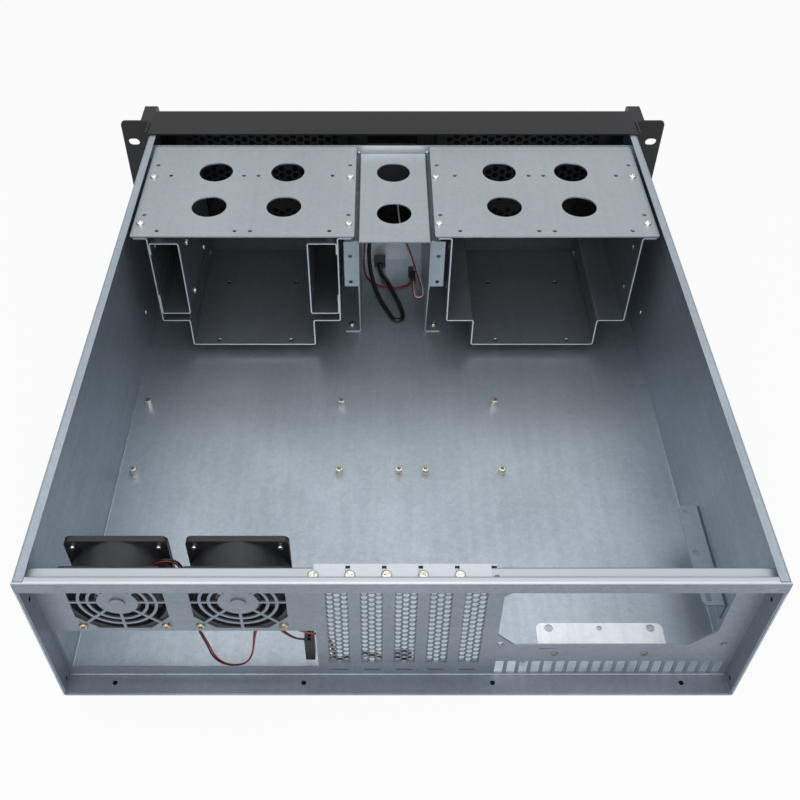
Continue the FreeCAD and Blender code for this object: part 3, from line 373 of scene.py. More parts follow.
# ---------------------------------------------------------------- base tub
# The tub is one sheet of hot-dip galvanised steel, folded up at the sides with inward top flanges.
# It carries the rear wall, the cages and the standoffs; a rivet holds the stay inside each side wall.
def galvanised(name, dark, light, rough, metallic=0.85, grain_mm=0.9, depth=0.08, blotch=0.5, painted_top_highlight=None,
               painted_edge_highlight=None):
    """Hot-dip zinc on sheet: a grain about a millimetre wide, 3 mm spangles, soft clouds and roll marks.
    painted_top_highlight is a height in millimetres and a colour: upward faces above that height take that
    lighter colour, a painted highlight;
    painted_edge_highlight is a lighter colour painted on faces turned to the rear, a painted highlight on the
    cut edges."""
    material, tree, place = new_material(name)
    grain = add(tree, "ShaderNodeTexNoise", {"Vector": place}, Scale=0.8 / grain_mm, Detail=3.0,
                Roughness=0.6)
    spangle = add(tree, "ShaderNodeTexVoronoi", {"Vector": place}, feature="SMOOTH_F1", Scale=0.33,
                  Smoothness=0.7)
    flake = add(tree, "ShaderNodeSeparateColor", {"Color": spangle.outputs["Color"]})
    rolled = add(tree, "ShaderNodeMapping", {"Vector": place}, Scale=(0.2, 0.012, 0.2))
    streak = add(tree, "ShaderNodeTexNoise", {"Vector": rolled.outputs[0]}, Scale=1.0, Detail=3.0)
    cloud = add(tree, "ShaderNodeTexNoise", {"Vector": place}, Scale=0.012, Detail=2.0)
    tone = cloud.outputs["Fac"]
    flake_share = 0.22
    for source, share in ((grain.outputs["Fac"], 1.0), (flake.outputs[0], flake_share),
                          (streak.outputs["Fac"], blotch)):
        sum_so_far = add(tree, "ShaderNodeMath", {0: source, 1: share, 2: tone}, operation="MULTIPLY_ADD")
        tone = sum_so_far.outputs[0]
    # Each pattern averages a half, so this is what their weighted sum averages.
    middle = 0.5 + 0.5 + flake_share / 2 + 0.5 * blotch
    spread = add(tree, "ShaderNodeMapRange", {"Value": tone}, From_Min=middle - 0.42, From_Max=middle + 0.42)
    ramp = add(tree, "ShaderNodeValToRGB", {"Fac": spread.outputs[0]})
    ramp.color_ramp.elements[0].color = colour(dark)
    ramp.color_ramp.elements[1].color = colour(light)
    skin = ramp.outputs[0]
    if painted_top_highlight or painted_edge_highlight:
        surface_way = add(tree, "ShaderNodeNewGeometry")
        facing = add(tree, "ShaderNodeSeparateXYZ", {"Vector": surface_way.outputs["Normal"]})
    # Painted highlight: upward faces above the given height take a lighter colour, standing in for the overhead
    # lamps' reflection.
    if painted_top_highlight:
        height, painted_highlight_colour = painted_top_highlight
        part = add(tree, "ShaderNodeSeparateXYZ", {"Vector": place})
        above = add(tree, "ShaderNodeMapRange", {"Value": part.outputs["Z"]},
                    From_Min=height - 0.3, From_Max=height)
        up = add(tree, "ShaderNodeMapRange", {"Value": facing.outputs["Z"]}, From_Min=0.3, From_Max=0.8)
        share = add(tree, "ShaderNodeMath", {0: above.outputs[0], 1: up.outputs[0]}, operation="MULTIPLY")
        skin = add(tree, "ShaderNodeMix", {"Factor": share.outputs[0], 6: skin}, data_type="RGBA")
        skin.inputs[7].default_value = colour(painted_highlight_colour)
        skin = skin.outputs[2]
    # Painted highlight: faces turned to the rear, towards the camera and the rear lamp, take a lighter colour.
    if painted_edge_highlight:
        cut = add(tree, "ShaderNodeMapRange", {"Value": facing.outputs["Y"]}, From_Min=0.8, From_Max=0.95)
        skin = add(tree, "ShaderNodeMix", {"Factor": cut.outputs[0], 6: skin}, data_type="RGBA")
        skin.inputs[7].default_value = colour(painted_edge_highlight)
        skin = skin.outputs[2]
    roughness = add(tree, "ShaderNodeMapRange", {"Value": spread.outputs[0]},
                    To_Min=rough + 0.06, To_Max=rough - 0.05)
    bump = add(tree, "ShaderNodeBump", {"Height": grain.outputs["Fac"]}, Strength=depth, Distance=0.0001)
    surface = add(tree, "ShaderNodeBsdfPrincipled",
                  {"Base Color": skin, "Roughness": roughness.outputs[0], "Normal": bump.outputs[0]},
                  Metallic=metallic)
    add(tree, "ShaderNodeOutputMaterial", {"Surface": surface.outputs[0]})
    return material


def plated(name, tone, stain, rough):
    """Plated small steel: bright, with faint turning marks and dull stains a few millimetres wide."""
    material, tree, place = new_material(name)
    patch = add(tree, "ShaderNodeTexNoise", {"Vector": place}, Scale=0.45, Detail=3.0)
    turned = add(tree, "ShaderNodeTexNoise", {"Vector": place}, Scale=5.0, Detail=1.0)
    ramp = add(tree, "ShaderNodeValToRGB", {"Fac": patch.outputs["Fac"]})
    ramp.color_ramp.elements[0].position = 0.3
    ramp.color_ramp.elements[0].color = colour(stain)
    ramp.color_ramp.elements[1].position = 0.5
    ramp.color_ramp.elements[1].color = colour(tone)
    roughness = add(tree, "ShaderNodeMapRange", {"Value": patch.outputs["Fac"]},
                    To_Min=rough + 0.12, To_Max=rough - 0.05)
    bump = add(tree, "ShaderNodeBump", {"Height": turned.outputs["Fac"]}, Strength=0.08, Distance=0.00005)
    surface = add(tree, "ShaderNodeBsdfPrincipled",
                  {"Base Color": ramp.outputs[0], "Roughness": roughness.outputs[0], "Normal": bump.outputs[0]},
                  Metallic=1.0)
    add(tree, "ShaderNodeOutputMaterial", {"Surface": surface.outputs[0]})
    return material


def pan_head(across, height):
    """A pan head seated on z = 0: a turned disc with a domed rim and a cross recess."""
    head = drum((0, 0, height / 2), across, height, sides=24)
    bevelled(head, height * 0.62, 4, lambda place, way: place.z > height * 0.99 and abs(way.z) < 0.1)
    long, wide = across * 0.27, across * 0.075
    carve(head, block((-long, -wide, height * 0.35), (long, wide, height * 2)))
    return carve(head, block((-wide, -long, height * 0.35), (wide, long, height * 2)))


def rivet_head(across, height):
    """A set rivet's low dome, seated on z = 0."""
    head = drum((0, 0, height / 2), across, height, sides=20)
    return bevelled(head, height * 0.9, 4, lambda place, way: place.z > height * 0.99 and abs(way.z) < 0.1)


def copies(source, places):
    """One object made of turned copies; a place is a point, a direction and a turn in degrees."""
    twins = []
    for point, direction, turn in places:
        twin = twin_of(source)
        aim = Vector(direction).to_track_quat("Z", "Y").to_matrix().to_4x4()
        twin.matrix_world = (Matrix.Translation(Vector(point) * MM) @ aim
                             @ Matrix.Rotation(math.radians(turn), 4, "Z"))
        twins.append(twin)
    bpy.data.objects.remove(source)
    whole = joined(twins)
    bpy.ops.object.transform_apply(location=True, rotation=True, scale=True)
    return whole


UP, BACK, FRONT = (0, 0, 1), (0, 1, 0), (0, -1, 0)
tub_low, tub_high = corners("base_tub")
rear_edge, floor_top, inside = tub_high[1], tub_low[2] + 1, tub_high[0] - 1
tub_zinc = galvanised("galvanised_steel", "#A2ACB5", "#BCC6CF", 0.45)
dress(tub_zinc, "base_tub")
nickel = plated("nickel_plated_steel", "#D9D6CE", "#8A8578", 0.28)
settle(copies(rivet_head(4.4, 1.0), [((side * inside, rear_edge - 339, 30.5), (-side, 0, 0), 0)
                                     for side in (-1, 1)]), "wall_rivets", nickel)

# ---------------------------------------------------------------- rear wall
# Folded from the same sheet: flanges at the bottom and sides, a shelf and a lip on top, and two pressed
# finger guards. Small blackened screws sunk in its flanges hold it in the tub.
# The rear wall is the tub's own sheet. Its darker colours are painted shade, since it is lit less, and its
# shelf and lip tops get a painted highlight.
wall_zinc_painted_shade_and_highlight = galvanised("galvanised_wall_painted_shade_and_highlight", "#828A93", "#969EA8", 0.50, metallic=0.8,
                       painted_top_highlight=(corners("rear_wall")[1][2] - 5.6, "#C3CAD0"))
dress(wall_zinc_painted_shade_and_highlight, "rear_wall")
wall_back = corners("fan_frame_left")[1][1] + 1
flange_top, flange_y = floor_top + 1, rear_edge - 7.7
blackened = plated("blackened_steel", "#2A2B2E", "#17181A", 0.42)
sunk = carve(drum((0, 0, 0.15), 4.4, 0.9), block((-1.3, -0.35, -0.1), (1.3, 0.35, 1)))
carve(sunk, block((-0.35, -1.3, -0.1), (0.35, 1.3, 1)))
settle(copies(sunk, [((x, flange_y, flange_top - 0.8), UP, 25 + x) for x in (-181.5, -60.5, 60.5, 181.5)]
              + [((side * (inside - 0.2), flange_y, z), (-side, 0, 0), z)
                 for side in (-1, 1) for z in (10, 101.5)]),
       "rear_flange_screws", blackened)
# Pressed rings in the middle of the guards' hub discs.
fan_x = [sum(corners("fan_frame_" + side)[i][0] for i in (0, 1)) / 2 for side in ("left", "right")]
fan_z = sum(corners("fan_frame_left")[i][2] for i in (0, 1)) / 2
hub_ring = drum((0, 0, 0.2), 9, 0.6, sides=32)
bevelled(hub_ring, 0.4, 3, lambda place, way: place.z > 0.49 and abs(way.z) < 0.1)
carve(hub_ring, drum((0, 0, 0.6), 6, 1.0, sides=32))
settle(copies(hub_ring, [((x, wall_back, fan_z), BACK, 0) for x in fan_x]), "guard_hub_rings", wall_zinc_painted_shade_and_highlight)

# ---------------------------------------------------------------- slot covers
# Five pressed steel covers behind the slot windows, each punched with three staggered columns of hexagonal
# vents. A tab on top lies over the shelf and is held by a bright cross-headed screw.
plate_zinc = galvanised("skin_passed_zinc", "#A8AFB4", "#BAC1C6", 0.40, grain_mm=0.7, depth=0.05, blotch=0.4)
# The covers' top tabs get a painted highlight on their upward faces.
cover_zinc_painted_top_highlight = galvanised("galvanised_slot_cover_painted_highlight", "#7F878F", "#90989F", 0.45,
                        painted_top_highlight=(corners("slot_cover_1")[1][2] - 1.2, "#C9CFD4"))


def hex_field(centre, across_flats, pitch, columns, rows, deep, shift=-0.5):
    """Staggered hexagonal prisms along Y, to be cut out of a sheet; odd columns sit half a pitch lower."""
    step = pitch * math.sqrt(3) / 2
    fields = []
    for odd in (0, 1):
        count = (columns + 1 - odd) // 2
        if not count:
            continue
        x = centre[0] - step * (columns - 1) / 2 + step * odd
        z = centre[2] - pitch * (rows - 1) / 2 + pitch * (shift * odd)
        prism = drum((x, centre[1], z), across_flats / math.cos(math.pi / 6), deep, "y", sides=6)
        for axis, number, distance in ((0, count, 2 * step), (2, rows - odd if shift > 0 else rows, pitch)):
            line = prism.modifiers.new("line", "ARRAY")
            line.use_relative_offset = False
            line.use_constant_offset = True
            line.constant_offset_displace = [distance * MM if axis == i else 0 for i in range(3)]
            line.count = number
            bpy.ops.object.modifier_apply(modifier=line.name)
        fields.append(prism)
    return joined(fields)


low, high = corners("slot_cover_1")
SLOT_PITCH = 20.32
screw_y = rear_edge - 7.8
half_strip = 9.2
slot_x, tab_z, strip_y = low[0] + half_strip, high[2] - 1, low[1]
cover = block((slot_x - half_strip, strip_y, low[2]), (slot_x + half_strip, strip_y + 1, tab_z + 0.6))
for side in (-1, 1):
    inner, outer = sorted([slot_x + side * 5.1, slot_x + side * 10])
    carve(cover, block((inner, strip_y - 1, low[2] - 1), (outer, strip_y + 2, low[2] + 6)))
carve(cover, block((slot_x - 6, strip_y - 0.001, tab_z), (high[0], high[1], tab_z + 1)), "UNION")
carve(cover, hex_field((slot_x, strip_y + 0.5, 61.5), 4.3, 4.9, 3, 17, 4))
carve(cover, drum((high[0], screw_y, tab_z), 4.4, 6, sides=20))
for number in range(1, 6):
    twin = twin_of(cover)
    twin.location.x = -SLOT_PITCH * MM * (number - 1)
    settle(twin, "slot_cover_%d_vented" % number, cover_zinc_painted_top_highlight, smooth=30,
           stands_for=("slot_cover_%d" % number,))
bpy.data.objects.remove(cover)
bright = plated("bright_zinc_plate", "#F1EFEA", "#B9B4A8", 0.22)
settle(copies(pan_head(6.4, 2.2), [((high[0] - SLOT_PITCH * i, screw_y, tab_z + 1), UP, 30 + 37 * i)
                                   for i in range(5)]), "slot_cover_screws", bright)

# ---------------------------------------------------------------- rear fans
# Two 60 mm fans: glass-filled PBT frames and impellers, nearly black, each with its motor in the hub.
# Pan-headed screws through the wall's guards hold the lower corners, and the impeller turns on its shaft.
FAN_HOLE = 25  # from a fan's axis to its screws, along the wall and up it
fan_black = moulded("black_pbt", "#1C1D20", "#2A2B2E", 0.44, grain_mm=0.7)
dress(fan_black, "fan_rotor_left", "fan_rotor_right")
for side, x in zip(("left", "right"), fan_x):
    low, high = corners("fan_frame_" + side)
    y = (low[1] + high[1]) / 2
    shell = bevelled(block(low, high), 3.5, 5, lambda place, way: abs(way.y) > 0.9)
    waist = block((low[0] - 1, low[1] + 4, low[2] - 1), (high[0] + 1, high[1] - 4, high[2] + 1))
    carve(waist, drum((x, y, fan_z), 59.8, 30, "y", sides=96))
    carve(shell, waist)
    carve(shell, drum((x, y, fan_z), 57, 30, "y", sides=96))
    carve(shell, joined([drum((x + sx * FAN_HOLE, y, fan_z + sz * FAN_HOLE), 4.3, 30, "y", sides=20)
                         for sx in (-1, 1) for sz in (-1, 1)]))
    # The motor's plate hangs in the rear of the bore on four struts, set on the diagonals.
    for turn in (45, 135):
        strut = block((x - 29.2, high[1] - 3, fan_z - 1.3), (x + 29.2, high[1] - 0.2, fan_z + 1.3))
        pivot = Vector((x, y, fan_z)) * MM
        strut.matrix_world = (Matrix.Translation(pivot) @ Matrix.Rotation(math.radians(turn), 4, "Y")
                              @ Matrix.Translation(-pivot))
        alone(strut)
        bpy.ops.object.transform_apply(location=True, rotation=True, scale=True)
        carve(shell, strut, "UNION")
    carve(shell, drum((x, high[1] - 1.5, fan_z), 27, 2.6, "y", sides=64), "UNION")
    settle(shell, "fan_shell_" + side, fan_black, smooth=30,
           stands_for=("fan_frame_" + side,))
tan_plate = plated("yellowed_zinc_plate", "#BDB6A6", "#6E6758", 0.30)
settle(copies(pan_head(5.6, 1.8),
              [((x + sx * FAN_HOLE, wall_back, fan_z + sz * FAN_HOLE), BACK, 20 + 31 * sx + x)
               for x in fan_x for sx in (-1, 1) for sz in (-1, 1)]),
       "fan_screws", tan_plate)
# Their ends show bright where they come through the frame's front flange.
tip = bevelled(drum((0, 0, 1), 3.3, 2, sides=16), 0.8, 3,
               lambda place, way: place.z > 1.9 and abs(way.z) < 0.1)
settle(copies(tip, [((x + sx * FAN_HOLE, wall_back - 22, fan_z + FAN_HOLE), BACK, 0)
                    for x in fan_x for sx in (-1, 1)]), "fan_screw_ends", bright)
# A bare foil disc covers each motor's bearing on the side that faces into the case.
foil = plated("plain_label_foil", "#8E9298", "#7A7E84", 0.45)
hub_disc = bevelled(drum((0, 0, 0.15), 19, 0.4, sides=48), 0.15, 2,
                    lambda place, way: abs(way.z) < 0.1 and place.z > 0.3)
for side, x in zip(("left", "right"), fan_x):
    front = corners("fan_rotor_" + side)[0][1]
    settle(copies(twin_of(hub_disc), [((x, front + 0.1, fan_z), FRONT, 0)]), "fan_hub_disc_" + side, foil,
           body="fan_" + side)
bpy.data.objects.remove(hub_disc)

# ---------------------------------------------------------------- power supply supports
# A folded angle behind the rear wall and another on the side wall. The angle is brushed zinc sheet, lighter
# than the tub partly in its own tone and partly as a painted highlight for the light its flange takes from
# above.
# Two countersunk screws, stained brown, hold the rear one.
brushed_zinc_with_painted_highlight = galvanised("brushed_zinc_sheet_with_painted_highlight", "#C3CACF", "#DCE1E6", 0.34, metallic=0.8, grain_mm=0.6, depth=0.05,
                     blotch=1.0)
low, high = corners("psu_bracket")
angle = block((low[0], high[1] - 1, low[2]), (high[0], high[1], high[2]))
carve(angle, block((low[0], low[1], high[2] - 1), (high[0], high[1], high[2])), "UNION")
bevelled(angle, 4, 5, lambda place, way: abs(way.z) > 0.9 and place.y < low[1] + 0.1)
bevelled(angle, 1.2, 4,
         lambda place, way: abs(way.x) > 0.9 and place.y > high[1] - 0.1 and place.z > high[2] - 0.1)
for x, across in ((-159.3, 5.4), (-127, 3.6), (-95, 5.4)):
    carve(angle, drum((x, 231.95, high[2]), across, 6, sides=32))
settle(angle, "psu_angle", brushed_zinc_with_painted_highlight, stands_for=("psu_bracket",))
rail_zinc = galvanised("galvanised_rail", "#98A1A9", "#ABB4BC", 0.45)
dress(rail_zinc, "psu_rail")
brown = plated("brown_stained_steel", "#97928A", "#5B4F42", 0.40)
flat_head = drum((0, 0, 0.05), 5.2, 0.6, sides=24)
bevelled(flat_head, 0.2, 2, lambda place, way: place.z > 0.3 and abs(way.z) < 0.1)
carve(flat_head, block((-1.5, -0.4, 0), (1.5, 0.4, 2)))
carve(flat_head, block((-0.4, -1.5, 0), (0.4, 1.5, 2)))
settle(copies(flat_head, [((x, wall_back, 29), BACK, 15 + x) for x in (-154.1, -97.8)]),
       "psu_bracket_screws", brown)

# ---------------------------------------------------------------- motherboard standoffs
# Ten hexagonal standoffs, turned and tapped, pressed into the floor at the board's mounting holes.
standoff_plate = plated("plated_standoff", "#E9E5DA", "#A59C86", 0.30)
low, high = corners("standoffs")
tall = high[2] - low[2]
post = drum((0, 0, tall / 2), 6, tall, sides=6)
bevelled(post, 0.45, 2, lambda place, way: abs(way.z) < 0.1 and place.z > tall - 0.1)
carve(post, drum((0, 0, tall - 2), 3.0, 5, sides=16))
# The holes are counted from the board's corner at the connector window, which has no standoff itself.
corner_x, corner_y = 200.2, 232.95
holes = [(x, y) for x in (0, 157.48, 281.94) for y in (0, 154.94, 227.33)][1:]
holes += [(203.2, 154.94), (223.52, 154.94)]
settle(copies(post, [((corner_x - x, corner_y - y, low[2]), UP, 0) for x, y in holes]),
       "tapped_standoffs", standoff_plate,
       stands_for=("standoffs",))

# ---------------------------------------------------------------- drive cages
# Stepped channels of galvanised sheet fixed to the inner wall, closed on top by lighter plates with four
# screws. A pair of channels in one cage narrows its upper bays; small screws hold them.
# The cages, their adapter channels and the inner front wall get darker colours as painted shade for the shade
# inside the cages, and their faces turned to the rear get a painted highlight.
cage_zinc_painted_shade_and_highlight = galvanised("galvanised_cage_painted_shade_and_highlight", "#757D84", "#868E95", 0.5, painted_edge_highlight="#E2E6EA")
dress(cage_zinc_painted_shade_and_highlight, "drive_cage_left", "drive_cage_right", "drive_adapter_inner", "drive_adapter_outer")
for side, node in ((1, "cage_plate_right"), (-1, "cage_plate_left")):
    low, high = corners(node)
    x, plate_top = (low[0] + high[0]) / 2, high[2]
    plate = bevelled(block(low, high), 1.5, 3, lambda place, way: abs(way.z) > 0.9)
    carve(plate, joined([drum((x + sx * 30, y, plate_top), 28, 6, sides=64)
                         for sx in (-1, 1) for y in (-148.05, -98.25)]))
    carve(plate, joined([drum((x + side * sx, y, plate_top), 3.2, 6, sides=16)
                         for sx in (67, 6.3, -5.8, -67.5) for y in (-142.75, -65.75)]
                        + [drum((x + side * sx, y, plate_top), 3.4, 6, sides=16)
                           for sx in (80, -82) for y in (-158.25, -86.75)]))
    settle(plate, node + "_pierced", plate_zinc, smooth=30, stands_for=(node,))
settle(copies(pan_head(6.2, 2.0), [((x, y, plate_top), UP, 11 * i) for i, (x, y) in enumerate(
       [(x, y) for x in (199.6, 36.0, -35.0, -198.7) for y in (-140.75, -75.15)])]),
       "cage_plate_screws", bright)
for node, side in (("drive_adapter_inner", 1), ("drive_adapter_outer", -1)):
    low, high = corners(node)
    web = high[0] if side > 0 else low[0]
    settle(copies(pan_head(5.2, 1.6),
                  [((web, y, z), (side, 0, 0), 20 + y + z)
                   for y in (high[1] - 26, high[1] - 86) for z in (low[2] + 4, low[2] + 54)]),
           node + "_screws", bright)

# ---------------------------------------------------------------- centre bracket
# An inverted channel that bridges the gap between the cages; a dull screw holds each foot to the floor.
dress(plate_zinc, "centre_bracket")
low, high = corners("centre_bracket")
settle(copies(pan_head(6.0, 1.9),
              [((side * 36, high[1] - 34.8, low[2] + 1), UP, 35 * side) for side in (-1, 1)]),
       "bracket_screws", nickel)

# ---------------------------------------------------------------- inner front wall
# A galvanised sheet across the tub with windows for the bays; the cages are riveted to it.
# It shares the cages' darkened colours, which are painted shade.
dress(cage_zinc_painted_shade_and_highlight, "sub_panel")
low, high = corners("sub_panel")
settle(copies(rivet_head(4.0, 0.9), [((side * x, high[1], z), BACK, 0) for side in (-1, 1) for x in (206, 30)
                                     for z in (40, 80, 118)]), "inner_wall_rivets", nickel)

# ---------------------------------------------------------------- front panel
# A shallow steel tray slipped over the front of the tub, with a fine-textured black powder coat.
def powder_coat(name, dark, light, rough, grain_mm=0.8):
    """Polyester powder on steel: fine orange peel under a satin skin, slightly worn paler in patches."""
    material, tree, place = new_material(name)
    peel = add(tree, "ShaderNodeTexNoise", {"Vector": place}, Scale=1 / grain_mm, Detail=2.0)
    wear = add(tree, "ShaderNodeTexNoise", {"Vector": place}, Scale=0.02, Detail=4.0)
    ramp = add(tree, "ShaderNodeValToRGB", {"Fac": wear.outputs["Fac"]})
    ramp.color_ramp.elements[0].position = 0.35
    ramp.color_ramp.elements[0].color = colour(dark)
    ramp.color_ramp.elements[1].position = 0.7
    ramp.color_ramp.elements[1].color = colour(light)
    roughness = add(tree, "ShaderNodeMapRange", {"Value": peel.outputs["Fac"]},
                    To_Min=rough - 0.07, To_Max=rough + 0.07)
    bump = add(tree, "ShaderNodeBump", {"Height": peel.outputs["Fac"]}, Strength=0.25, Distance=0.0001)
    surface = add(tree, "ShaderNodeBsdfPrincipled",
                  {"Base Color": ramp.outputs[0], "Roughness": roughness.outputs[0], "Normal": bump.outputs[0]},
                  IOR=1.5)
    add(tree, "ShaderNodeOutputMaterial", {"Surface": surface.outputs[0]})
    return material


powder_black = powder_coat("black_powder_coat", "#0F1012", "#17181B", 0.5)
dress(powder_black, "front_panel", "ear_left", "ear_right")

# ---------------------------------------------------------------- bay covers
# Perforated steel trays with a turned edge, painted black, that close the drive bays behind the face.
cover_black = powder_coat("black_painted_mesh", "#191A1C", "#222326", 0.5)


MESH_PITCH = 7.3  # between the middles of the honeycomb's cells


def mesh_cover(node, columns, rows):
    """A tray with a honeycomb front."""
    low, high = corners(node)
    tray = block(low, high)
    bevelled(tray, 0.8, 3, lambda place, way: place.y < low[1] + 0.1 or abs(way.y) > 0.9)
    wall = 1.2
    carve(tray, block((low[0] + wall, low[1] + wall, low[2] + wall),
                      (high[0] - wall, high[1] + 2, high[2] - wall)))
    middle = ((low[0] + high[0]) / 2, low[1] + 0.6, (low[2] + high[2]) / 2 + MESH_PITCH / 4)
    return carve(tray, hex_field(middle, 6.3, MESH_PITCH, columns, rows, 3))


FILTER_THICK, RETAINER_THICK = 2, 0.8
FILTER_SIDE = 5  # how far a filter and its retainer reach past each side of the tray


def retainer(node, columns, rows):
    """A perforated sheet of the tray's own pattern, a little larger than the tray, that backs its filter."""
    low, high = corners(node)
    front = high[1] + 0.1 + FILTER_THICK
    backing = block((low[0] - FILTER_SIDE, front, low[2] - 1),
                    (high[0] + FILTER_SIDE, front + RETAINER_THICK, high[2] + 1))
    middle = ((low[0] + high[0]) / 2, front + RETAINER_THICK / 2, (low[2] + high[2]) / 2 + MESH_PITCH / 4)
    return carve(backing, hex_field(middle, 5.2, MESH_PITCH, columns, rows, 3))


for first, others, columns, rows in (
        ("bay_cover_right_upper",
         ("bay_cover_right_lower", "bay_cover_left_upper", "bay_cover_left_lower"), 22, 5),
        ("small_cover_right", ("small_cover_left",), 15, 2)):
    tray, backing = mesh_cover(first, columns, rows), retainer(first, columns, rows)
    here = corners(first)
    for node in others:
        there = corners(node)
        for model, name, stands_for in ((tray, node + "_mesh", (node,)),
                                        (backing, node.replace("cover", "retainer"), ())):
            twin = twin_of(model)
            twin.location = [(there[0][i] - here[0][i]) * MM for i in range(3)]
            settle(twin, name, cover_black, smooth=30, stands_for=stands_for)
    settle(tray, first + "_mesh", cover_black, smooth=30, stands_for=(first,))
    settle(backing, first.replace("cover", "retainer"), cover_black, smooth=30)

# ---------------------------------------------------------------- dust filters
# A mat of open-cell polyurethane foam, black and matt, lies between each tray and a
# perforated sheet that holds it from behind.
def open_foam(name, dark, light, cell_mm=1.3):
    """Reticulated foam: pits a cell wide between thin struts; each cell's middle is painted darker, a painted
    shade for the pits, which swallow nearly all light.
    """
    material, tree, place = new_material(name)
    cell = add(tree, "ShaderNodeTexVoronoi", {"Vector": place}, Scale=1 / cell_mm)
    ramp = add(tree, "ShaderNodeValToRGB", {"Fac": cell.outputs["Distance"]})
    ramp.color_ramp.elements[0].color = colour(dark)
    ramp.color_ramp.elements[1].color = colour(light)
    bump = add(tree, "ShaderNodeBump", {"Height": cell.outputs["Distance"]}, Strength=0.6, Distance=0.0005)
    surface = add(tree, "ShaderNodeBsdfPrincipled", {"Base Color": ramp.outputs[0], "Normal": bump.outputs[0]},
                  Roughness=0.95, IOR=1.45, Specular_IOR_Level=0.1)
    add(tree, "ShaderNodeOutputMaterial", {"Surface": surface.outputs[0]})
    return material


foam = open_foam("black_filter_foam", "#0B0B0D", "#1E1F22")
for node in ("bay_cover_right_upper", "bay_cover_right_lower", "bay_cover_left_upper", "bay_cover_left_lower",
             "small_cover_right", "small_cover_left"):
    low, high = corners(node)
    mat = block((low[0] - FILTER_SIDE, high[1] + 0.1, low[2] - 1),
                (high[0] + FILTER_SIDE, high[1] + 0.1 + FILTER_THICK, high[2] + 1))
    bevelled(mat, 0.3, 2, lambda place, way: abs(way.x) > 0.9 or abs(way.z) > 0.9)
    settle(mat, node.replace("cover", "filter"), foam)

# ---------------------------------------------------------------- controls
# Moulded black buttons with dished tops in a carrier behind the face, two lamps, and two ports in a block.
dress(black_nylon, "control_module", "usb_ports")
key_black = moulded("black_abs_key", "#1A1B1D", "#242528", 0.34)
for node, body, cap in (("power_button", "power_key", 12), ("reset_button", "reset_key", 6)):
    low, high = corners(node)
    x, z, across = (low[0] + high[0]) / 2, (low[2] + high[2]) / 2, high[0] - low[0]
    key = drum((x, high[1] - 0.5, z), across, 1, "y", sides=48)
    pick(key, "faces", lambda place, normal: normal.y < -0.99)
    bpy.ops.mesh.inset(thickness=(across - cap) / 2 * MM)
    bpy.ops.mesh.extrude_region_move(TRANSFORM_OT_translate={"value": (0, (low[1] - high[1] + 1) * MM, 0)})
    bpy.ops.object.mode_set(mode="OBJECT")
    bevelled(key, 0.5, 3, lambda place, way: place.y < low[1] + 0.05)
    pick(key, "faces", lambda place, normal: normal.y < -0.99 and place.y < low[1] + 0.05)
    bpy.ops.mesh.inset(thickness=cap * 0.14 * MM)
    bpy.ops.transform.translate(value=(0, 0.5 * MM, 0))
    bpy.ops.object.mode_set(mode="OBJECT")
    settle(key, node + "_dished", key_black, body=body, stands_for=(node,))


def lens(name, tone, glow):
    """Clear tinted polystyrene: a glossy dome with a milky core."""
    material, tree, place = new_material(name)
    core = add(tree, "ShaderNodeTexNoise", {"Vector": place}, Scale=0.6, Detail=1.0)
    ramp = add(tree, "ShaderNodeValToRGB", {"Fac": core.outputs["Fac"]})
    ramp.color_ramp.elements[0].color = colour(tone)
    ramp.color_ramp.elements[1].color = colour(glow)
    surface = add(tree, "ShaderNodeBsdfPrincipled", {"Base Color": ramp.outputs[0]}, Roughness=0.12, IOR=1.59,
                  Coat_Weight=0.4)
    add(tree, "ShaderNodeOutputMaterial", {"Surface": surface.outputs[0]})
    return material


for node, tone, glow, slot in (("power_light", "#2F8F4C", "#7CD08E", "green_lens"),
                               ("drive_light", "#A3231F", "#E0584C", "red_lens")):
    low, high = corners(node)
    x, z = (low[0] + high[0]) / 2, (low[2] + high[2]) / 2
    dome = drum((x, (low[1] + high[1]) / 2, z), high[0] - low[0], high[1] - low[1], "y", sides=32)
    bevelled(dome, 1.2, 5, lambda place, way: place.y < low[1] + 0.05)
    settle(dome, node + "_dome", lens(node + "_polystyrene", tone, glow), stands_for=(node,))
# A stamped shell and a contact tongue stand inside each port.
low, high = corners("usb_ports")
tongues = [block((x - 5.6, low[1] + 1.2, 37.9), (x + 5.6, low[1] + 11, 39.4)) for x in (-10, 10)]
for tongue in tongues:
    bevelled(tongue, 0.3, 2, lambda place, way: place.y < low[1] + 1.3)
settle(joined(tongues), "port_tongues", white_nylon)

# ---------------------------------------------------------------- handles
# Die-cast bails on the ears, painted satin black, each held by two screws through its ear.
handle_paint = powder_coat("satin_black_paint", "#131416", "#1B1C1F", 0.42, grain_mm=0.5)
dress(handle_paint, "handle_left", "handle_right")


# ---------------------------------------------------------------- studio
# A white sheet under the case, a bright room and soft lamps overhead; the sheet keeps the case's shadow.
nothing_selected()
bpy.ops.mesh.primitive_plane_add(size=12, location=(0, 0, -0.0004))
sheet = bpy.context.object
sheet.name = "floor"


def white_to_eye(tree, kinds):
    """One where the camera looks, or where a mirror or clear surface does; otherwise nought."""
    ray = add(tree, "ShaderNodeLightPath")
    shares = [add(tree, "ShaderNodeMath", {0: ray.outputs[name], 1: share}, operation="MULTIPLY").outputs[0]
              for name, share in kinds]
    total = shares[0]
    for share in shares[1:]:
        total = add(tree, "ShaderNodeMath", {0: total, 1: share}, operation="MAXIMUM").outputs[0]
    return total


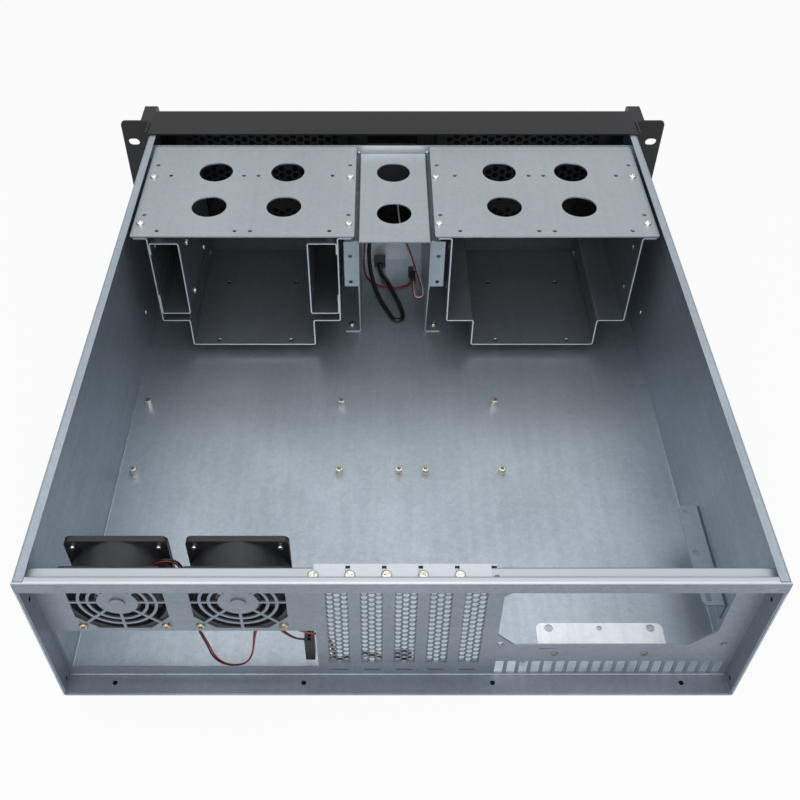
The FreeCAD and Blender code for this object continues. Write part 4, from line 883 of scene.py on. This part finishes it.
paper, tree, _ = new_material("white_floor")
seen = white_to_eye(tree, (("Is Camera Ray", 0.9), ("Is Glossy Ray", 0.45), ("Is Transmission Ray", 0.9)))
diffuse = add(tree, "ShaderNodeBsdfDiffuse", Color=colour("#FFFFFF"))
glow = add(tree, "ShaderNodeEmission", Strength=1.0, Color=colour("#FFFFFF"))
both = add(tree, "ShaderNodeMixShader", {0: seen, 1: diffuse.outputs[0], 2: glow.outputs[0]})
add(tree, "ShaderNodeOutputMaterial", {"Surface": both.outputs[0]})
sheet.data.materials.append(paper)

world = bpy.data.worlds.new("studio")
scene.world = world
world.use_nodes = True
tree = world.node_tree
tree.nodes.clear()
ray = add(tree, "ShaderNodeLightPath")
seen = white_to_eye(tree, (("Is Camera Ray", 1.0), ("Is Glossy Ray", 0.9), ("Is Transmission Ray", 1.0)))
way = add(tree, "ShaderNodeTexCoord")
height = add(tree, "ShaderNodeSeparateXYZ", {"Vector": way.outputs["Generated"]})
# The white surround dims towards the floor for reflections only, as a dark room does behind a light tent.
rise = add(tree, "ShaderNodeMapRange", {"Value": height.outputs["Z"]}, From_Min=0.1, From_Max=0.7,
           To_Min=0.3, To_Max=1.0)
looked_at = add(tree, "ShaderNodeMath", {0: rise.outputs[0], 1: ray.outputs["Is Camera Ray"]},
                operation="MAXIMUM")
room = add(tree, "ShaderNodeBackground", Color=colour("#E8ECF2"), Strength=0.5)
white = add(tree, "ShaderNodeBackground", {"Strength": looked_at.outputs[0]}, Color=colour("#FFFFFF"))
both = add(tree, "ShaderNodeMixShader", {0: seen, 1: room.outputs[0], 2: white.outputs[0]})
add(tree, "ShaderNodeOutputWorld", {"Surface": both.outputs[0]})


def soft_box(name, place, aim, size, power):
    """A rectangular lamp at a place, turned to a point, its size in metres and its power in watts."""
    lamp = bpy.data.lights.new(name, "AREA")
    lamp.shape = "RECTANGLE"
    lamp.size, lamp.size_y = size
    lamp.energy = power
    thing = bpy.data.objects.new(name, lamp)
    scene.collection.objects.link(thing)
    thing.location = place
    thing.rotation_euler = (Vector(aim) - Vector(place)).to_track_quat("-Z", "Y").to_euler()


soft_box("key_box", (0.0, -0.75, 1.6), (0, 0.1, 0), (1.2, 0.9), 1.5)
soft_box("rear_box", (0.0, 1.3, 0.9), (0, 0.2, 0), (1.4, 0.8), 9)
soft_box("roof_box", (0.0, 0.3, 2.2), (0, 0, 0), (2.4, 2.0), 8)
